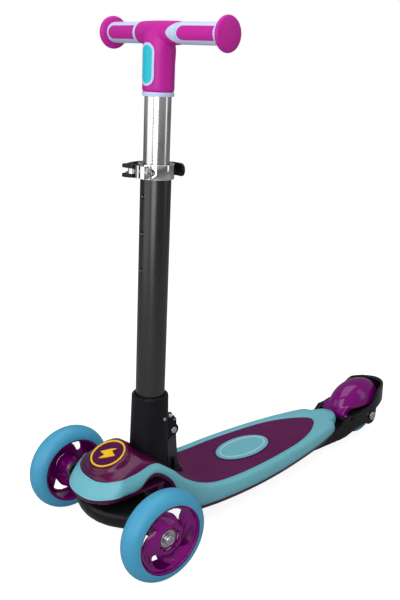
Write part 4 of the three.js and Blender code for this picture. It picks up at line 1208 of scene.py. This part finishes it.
# ------------------------------------------------------------------------------- rear end
@dataclass
class RearEnd:
    """Fork, axle, and the foot brake over the rear wheel.

    Args:
        dome: forward position, height, half length, half width and rise of the brake's dome.
        wall: thickness of the dome.
        pin: forward position and height of the brake's hinge.
        hinge_hole: radius of the hole for the hinge's pin.
    """

    dome: tuple[float, float, float, float, float] = (-476, 56, 50.5, 28.5, 34.5)
    wall: float = 2.8
    pin: tuple[float, float] = (-433, 46)
    hinge_hole: float = 2.8

    def egg(self, shrink: float) -> Shell:
        """The dome's ellipsoid."""
        x, z, long, wide, high = self.dome
        rows = []
        for i in range(1, 48):
            t = math.pi * i / 48
            rows.append([Vector(((long - shrink) * math.sin(t) * math.cos(a),
                                 (wide - shrink) * math.sin(t) * math.sin(a),
                                 -(high - shrink) * math.cos(t))) for a in angles(80)])
        turn = Matrix.Translation((x, 0, z)) @ Matrix.Rotation(math.radians(6), 4, "Y")
        return skin(rows, caps=True).moved(turn)

    def dome_mesh(self) -> bpy.types.Mesh:
        """Hollow dome that runs down into a saddle at its hinge."""
        place = drawing_place()
        bm = self.egg(0).bm()
        cut = bmesh.ops.bisect_plane(bm, geom=bm.verts[:] + bm.edges[:] + bm.faces[:],
                                     plane_co=(0, 0, 55.7), plane_no=(0, 0, -1), clear_outer=True)
        rim = [g for g in cut["geom_cut"] if isinstance(g, bmesh.types.BMEdge)]
        bmesh.ops.contextual_create(bm, geom=rim)
        x, z = self.pin
        outline = eased([(x - 14, 55.7), (x - 12, 62), (x - 4, 60.5), (x + 4, 56), (x + 7, 49),
                         (x + 4.6, z - 4.6), (x - 4.6, z - 4.6), (x - 6, 50)], 3, closed=True)
        shell = Shell.of(bm).add(extruded(outline, 21.6))
        skinned = moulded(plain_mesh(shell, place), 0.9, 7)
        below = block((x - 90, -40, 20), (x - 14.5, 40, 55.4))
        hole = rod(self.hinge_hole, -60, 60).moved(across(Matrix.Identity(4), x, 0, z))
        return carved(skinned, place, self.egg(self.wall), below, hole)

    def fork(self) -> bpy.types.Mesh:
        """Fork with round ends at the axle and a round hoop behind the wheel."""
        place = drawing_place()
        side = bow((-322, 30), (-330, 17.5), (-360, 15.8)) + bow((-361, 15.8), (-412, 14.5), (-428, 20.5))
        side += bow((-429, 20.9), (-444, 28), (-467, 28.5)) + arc(15.5, -52, -149, 20, -480, 39)
        side += bow((-495, 46.5), (-503, 48), (-516, 51)) + bow((-517, 51.3), (-532, 53.5), (-537.5, 58))
        side += [(-537.5, 60), (-537.5, 79)] + bow((-508, 79.5), (-498, 79), (-491, 68), (-481, 56))
        side += [(-445, 50.8), (-429, 50.8), (-410, 35.5), (-322, 35.5)]
        half = [(-322, 29), (-395, 31)] + bow((-396, 31.2), (-430, 37), (-470, 36))
        half += bow((-474, 35.9), (-516, 36.5), (-537, 17), (-537.5, 0))
        body = combined(plain_mesh(extruded(side, 36.5), place), place, "INTERSECT",
                        prism(mirrored(half), 5, 100))
        inside = [(-424, 30), (-490, 29.5)] + bow((-494, 29.4), (-520, 28), (-528, 14), (-528, 0))
        level = Matrix.Identity(4)
        wheel = rod(42.5, -14.6, 14.6).moved(across(level, -480, 0, 39))
        pin = rod(self.hinge_hole, -60, 60, sides=32).moved(across(level, self.pin[0], 0, self.pin[1]))
        cut = carved(body, place, prism(mirrored(inside), 51, 120),
                     block((-448, -26.5, 35.7), (-380, 26.5, 60)), wheel, pin)
        return moulded(cut, 0.9, 6)

    def build(self) -> None:
        """Makes and dresses the rear end."""
        dressed("fork_body", self.fork(), "deck", Look.BLACK, ["rear_fork"], sharp=70)
        dressed("dome_shell", self.dome_mesh(), "brake", Look.VIOLET, ["brake_dome"], sharp=50)
        place = across_node("rear_tyre")
        axle = eased([(0, -44.2), (3, -44.2), (3.9, -43.6), (3.9, 36.6), (6.9, 36.6), (6.9, 39.4),
                      (5.2, 40.6), (0, 40.8)], 0.4)
        piece("rear_bolt", turned(axle), place, "deck", Look.STEEL, ["rear_axle"], sharp=35)
        nut = [(4.4, -42.3), (6.6, -42.3), (7.6, -41.6), (7.6, -37.2), (6.8, -36.7), (4.4, -36.7)]
        rows = hexed([(r, z, r > 7) for r, z in nut])
        piece("rear_nut", skin(rows, loop_rows=True), place, "deck", Look.STEEL, ["rear_axle_nut"],
              sharp=35)
        pin = across(drawing_place(), self.pin[0], 0, self.pin[1])
        piece("dome_spring", coil(4.2, 0.8, -6, 6, 5), pin, "deck", Look.SPRING, ["brake_spring"])
        rivet = turned(eased([(0, -31.8), (2.5, -31.8), (2.5, 31.8), (0, 31.8)], 0.5))
        piece("dome_pin", rivet, pin, "deck", Look.STEEL, ["brake_pin"])


# ------------------------------------------------------------------------------- the stem
@dataclass
class Stem:
    """Folding sleeve, outer tube and the clamp that holds the height.

    Args:
        tube: radius and bore of the outer tube, its foot and its top.
        holes: height of the highest hole, distance between holes, their number and radius.
        clamp: foot, top and radius of the clamp ring, and how far out its screw is.
        lever: inner radius of the lever's arm, its thickness, and its two end angles.
        cam: how much further out than the screw the lever turns, and how far to the right.
    """

    tube: tuple[float, float, float, float] = (18.8, 16.3, 100, 484)
    holes: tuple[float, float, int, float] = (BUTTON_HEIGHT, 45.5, 3, 3.6)
    clamp: tuple[float, float, float, float] = (468, 486, 22, 22.6)
    lever: tuple[float, float, float, float] = (33.0, 3.6, -46, -212)
    cam: tuple[float, float] = (0.6, -17.5)

    @staticmethod
    def clamp_place() -> Matrix:
        """Frame of the clamp: the stem's, with X towards its ears."""
        return stem_place() @ Matrix.Rotation(CLAMP_TURN, 4, "Z")

    def outer_tube(self) -> bpy.types.Mesh:
        """Outer tube with its height holes and the slit below its top."""
        radius, bore, low, top = self.tube
        highest, pitch, count, hole = self.holes
        profile = eased([(bore, low), (radius, low), (radius, top), (bore, top)], 0.5, closed=True)
        tube = plain_mesh(turned(profile, closed=True, sides=128), stem_place())
        along = Matrix.Rotation(math.pi / 2, 4, "Y")
        tools = [rod(hole, 8, 30, sides=32).moved(Matrix.Translation((0, 0, highest - i * pitch)) @ along)
                 for i in range(count)]
        slit = block((-30, -1.5, top - 32), (-10, 1.5, top + 5))
        return carved(tube, stem_place(), *tools, slit)

    def clamp_ring(self) -> bpy.types.Mesh:
        """Clamp band with its two ears, slit and screw hole."""
        low, top, radius, out = self.clamp
        place = self.clamp_place()
        band = turned(eased([(0, low), (radius, low), (radius, top), (0, top)], 0.8), sides=128)
        ears = prism(eased([(10, -7.5), (out + 6, -7.5), (out + 6, 7.5), (10, 7.5)], 1.2, closed=True),
                     low + 1.6, top - 1.6)
        joined = combined(plain_mesh(band, place), place, "UNION", ears)
        at = across(Matrix.Identity(4), out, 0, (low + top) / 2)
        return carved(joined, place, rod(self.tube[0] + 0.3, low - 5, top + 5, sides=128),
                      block((10, -1.3, low - 5), (40, 1.3, top + 5)),
                      rod(2.8, -40, 40, sides=32).moved(at), rod(6, 7.6, 20, sides=48).moved(at))

    def screw(self) -> bpy.types.Mesh:
        """Clamp screw with a washer and a cross recess in its domed head."""
        low, top, _, out = self.clamp
        place = across(self.clamp_place(), out, 0, (low + top) / 2)
        body = turned(eased([(0, -20.5), (2.5, -20.5), (2.5, 7.8), (6.0, 7.8), (6.0, 8.7), (5.3, 8.8),
                             (5.2, 10.9), (3.4, 12.1), (0, 12.6)], 0.5), sides=64)
        cross = [block((-3.2, -0.55, 10.9), (3.2, 0.55, 14)), block((-0.55, -3.2, 10.9), (0.55, 3.2, 14))]
        return carved(plain_mesh(body, place), place, *cross)

    def lever_mesh(self) -> bpy.types.Mesh:
        """Cam lever: forked head, curved arm and round paddle."""
        low, top, _, out = self.clamp
        inner, depth, start, end = self.lever
        middle, half = (low + top) / 2, (top - low) / 2 - 1
        pin = (out + self.cam[0], self.cam[1])
        rows, count = [], 90
        for i in range(count + 1):
            share = i / count
            angle = math.radians(start + (end - start) * share)
            left = (1 - share) * math.radians(start - end) * inner
            tall = half * math.sqrt(max(0.02, 1 - max(0.0, 1 - left / half) ** 2))
            tall *= 0.86 + 0.14 * min(1.0, share * 1.6)
            ring = []
            for r, z in eased([(inner, -tall), (inner + depth, -tall), (inner + depth, tall),
                               (inner, tall)], 1.2, closed=True):
                ring.append(Vector((r * math.cos(angle), r * math.sin(angle), middle + z)))
            rows.append(ring)
        shell = skin(rows, caps=True)
        head = prism(arc(6.8, 0, 360, 40, *pin)[:-1], low + 1, top - 1)
        toes = [block((pin[0] - 6, pin[1] - 9, a), (pin[0] + 8, pin[1] - 2, b))
                for a, b in ((low + 1, middle - 3.2), (middle + 3.2, top - 1))]
        place = self.clamp_place()
        for part in (head, *toes):
            shell.add(part)
        made = moulded(plain_mesh(shell, place), 0.6, 4)
        slot = block((pin[0] - 14, pin[1] - 20, middle - 3.2), (pin[0] + 14, pin[1] + 9, middle + 3.2))
        hole = rod(5.3, low - 4, top + 4, sides=48).moved(Matrix.Translation((*pin, 0)))
        return carved(made, place, slot, hole)

    def build(self) -> None:
        """Makes and dresses the stem."""
        sleeve = moulded(frame["nodes"]["stem_sleeve"].data.copy(), 0.8, 5)
        dressed("fold_sleeve", sleeve, "stem", Look.SLEEVE, ["stem_sleeve"], sharp=60)
        dressed("tube_outer", self.outer_tube(), "stem", Look.PAINT, ["outer_tube"], sharp=35)
        dressed("clamp_band", self.clamp_ring(), "stem", Look.CHROME, ["clamp_ring"], sharp=30, bevel=0.3)
        dressed("clamp_bolt", self.screw(), "stem", Look.STEEL, ["clamp_screw"], sharp=30)
        low, top, _, out = self.clamp
        turn = self.clamp_place() @ Matrix.Translation((out + self.cam[0], self.cam[1], 0))
        barrel = eased([(0, low + 1.6), (5, low + 1.6), (5, low + 5.4), (4.6, low + 5.8),
                        (4.6, top - 5.8), (5, top - 5.4), (5, top - 1.6), (0, top - 1.6)], 0.5)
        piece("clamp_barrel", turned(barrel), turn, "stem", Look.CHROME, ["clamp_pivot"], sharp=30)
        dressed("lever_arm", self.lever_mesh(), "clamp_lever", Look.BLACK, ["clamp_lever"], sharp=60)
        self.hinge()

    def hinge(self) -> None:
        """Rivet, latch spring and cross pin of the folding joint."""
        for node, name, profile in (
            ("fold_pin", "hinge_rivet", [(0, -13.8), (3.2, -13.6), (4.6, -12.9), (4.6, -11.8), (3, -11.8),
                                         (3, 11.8), (4.6, 11.8), (4.6, 12.9), (3.2, 13.6), (0, 13.8)]),
            ("latch_pin", "latch_rod", [(0, -11.4), (1.5, -11.2), (1.5, 11.2), (0, 11.4)]),
            ("sleeve_pin", "cross_pin", [(0, -25.4), (2.3, -25.1), (2.3, 25.1), (0, 25.4)]),
        ):
            piece(name, turned(eased(profile, 0.5), sides=48), across_node(node), "stem", Look.STEEL,
                  [node], sharp=35)
        at = Matrix.Translation(Vector(joint("fold_latch_turn")["pos_m"])) @ Matrix.Scale(MM, 4) @ TO_Y
        piece("latch_coil", coil(3.6, 0.75, 0.2, 6.2, 4), at, "stem", Look.SPRING, ["latch_spring"])


# --------------------------------------------------------------------------- the handlebar
@dataclass
class Handlebar:
    """Inner tube, T-shaped handle with its inlay, grips and end knobs.

    Args:
        tube: radius, bore, foot and top of the inner tube.
        axis: height of the bar.
        bar: radius of the bar inside the grips.
        grip: radius, inner end and outer end of a grip.
        knob: largest radius of an end knob and how far out it reaches.
        inlay: lowest and highest point of the inlay and its half width.
        collar: foot and top of the pale collar below the T.
        tee: foot and top of the T.
    """

    tube: tuple[float, float, float, float] = (15.9, 14.2, 352, 615)
    axis: float = 634
    bar: float = 8
    grip: tuple[float, float, float] = (12.3, 36.5, 102.4)
    knob: tuple[float, float] = (19.5, 111.5)
    inlay: tuple[float, float, float] = (577, 621, 8.4)
    collar: tuple[float, float] = (563.6, 568.6)
    tee: tuple[float, float] = (567.8, 641)

    def arm_place(self, hand: int) -> Matrix:
        """Frame of one half of the bar: Z outwards along it, for the left (1) or right (-1)."""
        turn = Matrix.Rotation(hand * GRIP_SWEEP, 4, "Z")
        turn = turn @ Matrix.Rotation(-hand * math.pi / 2, 4, "X")
        return stem_place() @ Matrix.Translation((0, 0, self.axis)) @ turn

    def body(self) -> bpy.types.Mesh:
        """The T, moulded in one piece with soft inside corners."""
        low, high = self.tee
        shell = turned(eased([(0, low), (18.9, low), (18.8, 600), (19.5, 617), (16.8, 631),
                              (9, high - 1.4), (0, high)], 4))
        end = self.grip[1] - 0.3
        arm = turned([(0, -6), (13.3, -4), (13.2, 24), (12.8, end - 0.6), (12.2, end), (0, end)])
        for hand in (1, -1):
            shell.add(arm.moved(stem_place().inverted() @ self.arm_place(hand)))
        return moulded(plain_mesh(shell, stem_place()), 0.8, 14)

    @staticmethod
    def patch(
        radius: float, outline: Callable[[float], float], start: float, end: float, towards: float,
        depth: float,
    ) -> Shell:
        """Part of a round surface about Z, as wide at each height as an outline says.

        Args:
            radius: radius of its outer face.
            outline: half width at a height, measured round the surface.
            start: lowest height.
            end: highest height.
            towards: angle that its middle faces.
            depth: its thickness.

        Returns:
            The closed patch.
        """
        tall, wide = 80, 28
        rows = []
        for i in range(tall + 1):
            z = start + (end - start) * (0.5 - 0.5 * math.cos(math.pi * i / tall))
            half = max(outline(z), 0.02) / radius
            turns = [towards + half * (2 * j / wide - 1) for j in range(wide + 1)]
            rows.append([Vector((radius * math.cos(t), radius * math.sin(t), z)) for t in turns])
        shell = skin(rows, loop_ring=False)
        shrink = (radius - depth) / radius
        row, count = wide + 1, len(shell.points)
        edge = list(range(row)) + [i * row + wide for i in range(1, tall + 1)]
        edge += [tall * row + j for j in reversed(range(wide))] + [i * row for i in reversed(range(1, tall))]
        shell.add(shell.moved(Matrix.Diagonal((shrink, shrink, 1, 1))))
        shell.faces += [(a, b, b + count, a + count) for a, b in zip(edge, edge[1:] + edge[:1])]
        return shell

    def inlays(self) -> None:
        """Oval inlay on the front of the T, in its pale border."""
        low, high, half = self.inlay

        def oval(grow: float) -> Callable[[float], float]:
            """Half width of the oval, grown by a margin, at a height."""
            def width(z: float) -> float:
                """Half width at one height."""
                wide = half + grow
                if z < low + half:
                    return math.sqrt(max(wide**2 - (low + half - z) ** 2, 0))
                if z > high - half:
                    return math.sqrt(max(wide**2 - (z - high + half) ** 2, 0))
                return wide
            return width

        facing = math.radians(7)
        place = stem_place()
        border = self.patch(19.9, oval(1.8), low - 1.8, high + 1.8, facing, 1.4)
        piece("inlay_border", border, place, "handlebar", Look.PALE, bevel=0.25)
        face = self.patch(20.05, oval(-0.9), low + 0.9, high - 0.9, facing, 1.4)
        piece("inlay_face", face, place, "handlebar", Look.TURQUOISE, ["handle_insert"], bevel=0.2)

    def panels(self, side: str, hand: int) -> None:
        """Rubber panels on the front and back of a grip, and its pointed tip.

        Args:
            side: left or right.
            hand: 1 for the left grip, -1 for the right one.
        """
        radius, inner, outer = self.grip
        place, half = self.arm_place(hand), 8.3

        def panel(rounded: float) -> Callable[[float], float]:
            """Half width of a panel that is round towards one end and square at the other."""
            def width(z: float) -> float:
                """Half width at one place along the grip."""
                gap = abs(z - rounded)
                return half if gap > half else math.sqrt(max(half**2 - (half - gap) ** 2, 0))
            return width

        def tip(z: float) -> float:
            """Half width of the pointed tip at one place along the grip."""
            return 14 * min(1.0, max(0.0, (z - inner + 13) / 16)) ** 0.62

        for face, towards in (("front", 0.0), ("back", math.pi)):
            near = (hand > 0) == (face == "front")
            start, end = inner + 4, outer - (6.5 if near else 5)
            pad = self.patch(radius + 0.5, panel(start if near else end), start, end, towards, 1.0)
            stands = [f"grip_pad_{side}"] if face == "front" else []
            piece(f"panel_{side}_{face}", pad, place, "handlebar", Look.GRIP, stands, bevel=0.25)
            if near:
                point = self.patch(radius + 1.0, tip, inner - 13, inner + 1.5, towards, 1.2)
                piece(f"tip_{side}", point, place, "handlebar", Look.PALE, bevel=0.25)

    def grips(self) -> None:
        """Both grips: pale sleeves, rubber panels and end knobs."""
        radius, inner, outer = self.grip
        top, reach = self.knob
        bore = self.bar + 0.3
        sleeve = eased([(bore, inner), (radius, inner), (radius, outer), (bore, outer)], 0.8, closed=True)
        knob = [(0, 104), (self.bar + 1.2, 104), (self.bar + 1.2, outer + 0.3), (14.6, outer + 0.3),
                (top - 1.3, 104.2), (top, 106), (top, 107.6), (top - 1.0, 109.2), (15, 110.4),
                (8, 111.3), (0, reach)]
        for side, hand in (("left", 1), ("right", -1)):
            place = self.arm_place(hand)
            piece(f"sleeve_{side}", turned(sleeve, closed=True), place, "handlebar", Look.PALE,
                  [f"grip_{side}"], sharp=35)
            self.panels(side, hand)
            piece(f"knob_{side}", turned(eased(knob, 1.4)), place, "handlebar", Look.MAGENTA,
                  [f"grip_knob_{side}"])

    @staticmethod
    def button() -> None:
        """Spring button that snaps into a height hole of the outer tube."""
        knob = eased([(0, 8.5), (4.6, 8.5), (4.6, 9.6), (3, 9.6), (3, 14.6), (1.8, 15.6), (0, 15.8)], 0.5)
        at = stem_place() @ Matrix.Translation((0, 0, BUTTON_HEIGHT)) @ Matrix.Rotation(math.pi / 2, 4, "Y")
        piece("button_nub", turned(knob, sides=48), at, "height_button", Look.STEEL, ["height_button"])

    def build(self) -> None:
        """Makes and dresses the handlebar."""
        place = stem_place()
        radius, bore, low, top = self.tube
        wall = eased([(bore, low), (radius, low), (radius, top), (bore, top)], 0.5, closed=True)
        tube = turned(wall, closed=True, sides=128)
        piece("tube_inner", tube, place, "handlebar", Look.ALLOY, ["inner_tube"], sharp=35)
        dressed("tee_body", self.body(), "handlebar", Look.MAGENTA, ["handle_body"], sharp=60)
        low, top = self.collar
        ring = eased([(bore + 2, low), (18.7, low), (18.9, top - 0.2), (bore + 2, top)], 0.6, closed=True)
        piece("tee_collar", turned(ring, closed=True), place, "handlebar", Look.PALE, ["handle_collar"])
        self.inlays()
        self.grips()
        self.button()


# ------------------------------------------------------------------------------ the studio
@dataclass
class Studio:
    """Pale floor, soft lights and the camera.

    Args:
        camera: the camera's place in the drawing frame.
        target: what it looks at.
        lens: focal length for a 36 mm sensor.
        ambient: brightness of the surrounding room.
        lift: how much the floor is brightened where it is seen, so that it fades into the background.
    """

    camera: tuple[float, float, float] = (513.9, 789.7, 643.1)
    target: tuple[float, float, float] = (-155.8, -10.2, 294.3)
    lens: float = 49.64
    ambient: float = 0.28
    lift: float = 0.88

    def light(self, name: str, spot: Sequence[float], size: tuple[float, float], power: float) -> None:
        """Adds a soft rectangular light that faces the scooter.

        Args:
            name: the light's name.
            spot: its place in metres.
            size: its width and height in metres.
            power: its power in watts.
        """
        lamp = bpy.data.lights.new(name, "AREA")
        lamp.shape = "RECTANGLE"
        lamp.size, lamp.size_y = size
        lamp.energy = power
        self.aimed(shown(name, lamp), Vector(spot), Vector((0, 0, 0.28)))

    @staticmethod
    def aimed(obj: bpy.types.Object, spot: Vector, aim: Vector) -> None:
        """Puts a light or a camera at a spot, looking towards another one."""
        obj.location = spot
        obj.rotation_mode = "QUATERNION"
        obj.rotation_quaternion = (aim - spot).to_track_quat("-Z", "Y")

    def floor(self) -> None:
        """Wide pale floor just below the wheels."""
        mesh = bpy.data.meshes.new("floor")
        bm = bmesh.new()
        bmesh.ops.create_grid(bm, x_segments=2, y_segments=2, size=12)
        bm.to_mesh(mesh)
        bm.free()
        obj = shown("floor", mesh)
        obj.location.z = -0.0003
        pale = bpy.data.materials.new("pale_floor")
        pale.use_nodes = True
        nodes, links = pale.node_tree.nodes, pale.node_tree.links
        surface = nodes["Principled BSDF"]
        surface.inputs["Base Color"].default_value = (0.4, 0.4, 0.4, 1)
        surface.inputs["Roughness"].default_value = 0.8
        surface.inputs["Specular IOR Level"].default_value = 0.0
        surface.inputs["Emission Color"].default_value = (1, 1, 1, 1)
        seen = nodes.new("ShaderNodeLightPath")
        lift = nodes.new("ShaderNodeMath")
        lift.operation = "MULTIPLY"
        lift.inputs[1].default_value = self.lift
        links.new(seen.outputs["Is Camera Ray"], lift.inputs[0])
        links.new(lift.outputs[0], surface.inputs["Emission Strength"])
        mesh.materials.append(pale)

    def build(self) -> None:
        """Sets the stage."""
        scene = bpy.context.scene
        world = bpy.data.worlds.new("studio")
        world.use_nodes = True
        nodes, links = world.node_tree.nodes, world.node_tree.links
        nodes["Background"].inputs["Color"].default_value = (1, 1, 1, 1)
        seen = nodes.new("ShaderNodeLightPath")
        level = nodes.new("ShaderNodeMapRange")
        level.inputs["To Min"].default_value = self.ambient
        level.inputs["To Max"].default_value = 1.0
        links.new(seen.outputs["Is Camera Ray"], level.inputs["Value"])
        links.new(level.outputs["Result"], nodes["Background"].inputs["Strength"])
        scene.world = world
        scene.view_settings.view_transform = "Standard"
        self.floor()
        self.light("key", (1.4, 1.12, 1.0), (1.0, 1.8), 17)
        self.light("side", (1.85, -0.35, 0.8), (1.8, 1.6), 9)
        self.light("back", (-1.3, 1.5, 0.9), (0.5, 1.6), 2.5)
        self.light("top", (-0.05, 0.1, 2.3), (2.2, 1.8), 24)
        place = drawing_place()
        lens = bpy.data.cameras.new("camera")
        lens.lens = self.lens
        lens.sensor_width = 36
        lens.clip_start, lens.clip_end = 0.01, 60
        scene.camera = shown("camera", lens)
        self.aimed(scene.camera, place @ Vector(self.camera), place @ Vector(self.target))


def dress_cad() -> None:
    """Gives every CAD node that is still shown its finish and soft edges."""
    slots = {entry["node"]: entry["material_slot"] for entry in frame["record"]["subparts"]}
    for name, obj in frame["nodes"].items():
        look = BY_SLOT[slots[name]]
        obj.data.materials.clear()
        obj.data.materials.append(MATERIALS[look])
        if not obj.hide_render:
            soften(obj, 0.3, 38)
            LOG.info("%s: CAD node in %s", name, look.name.lower())


def main() -> None:
    """Builds the scooter and its studio."""
    logging.basicConfig(level=logging.INFO, format="%(message)s")
    Studio().build()
    deck = Deck()
    deck.build()
    Nose(deck).build()
    Truck().build()
    for side, hand, windows in (("left", 1, 4), ("right", -1, 4), ("rear", 1, 0)):
        Wheel(side, hand, windows).build()
    RearEnd().build()
    Stem().build()
    Handlebar().build()
    dress_cad()


if __name__ == "__main__":
    main()
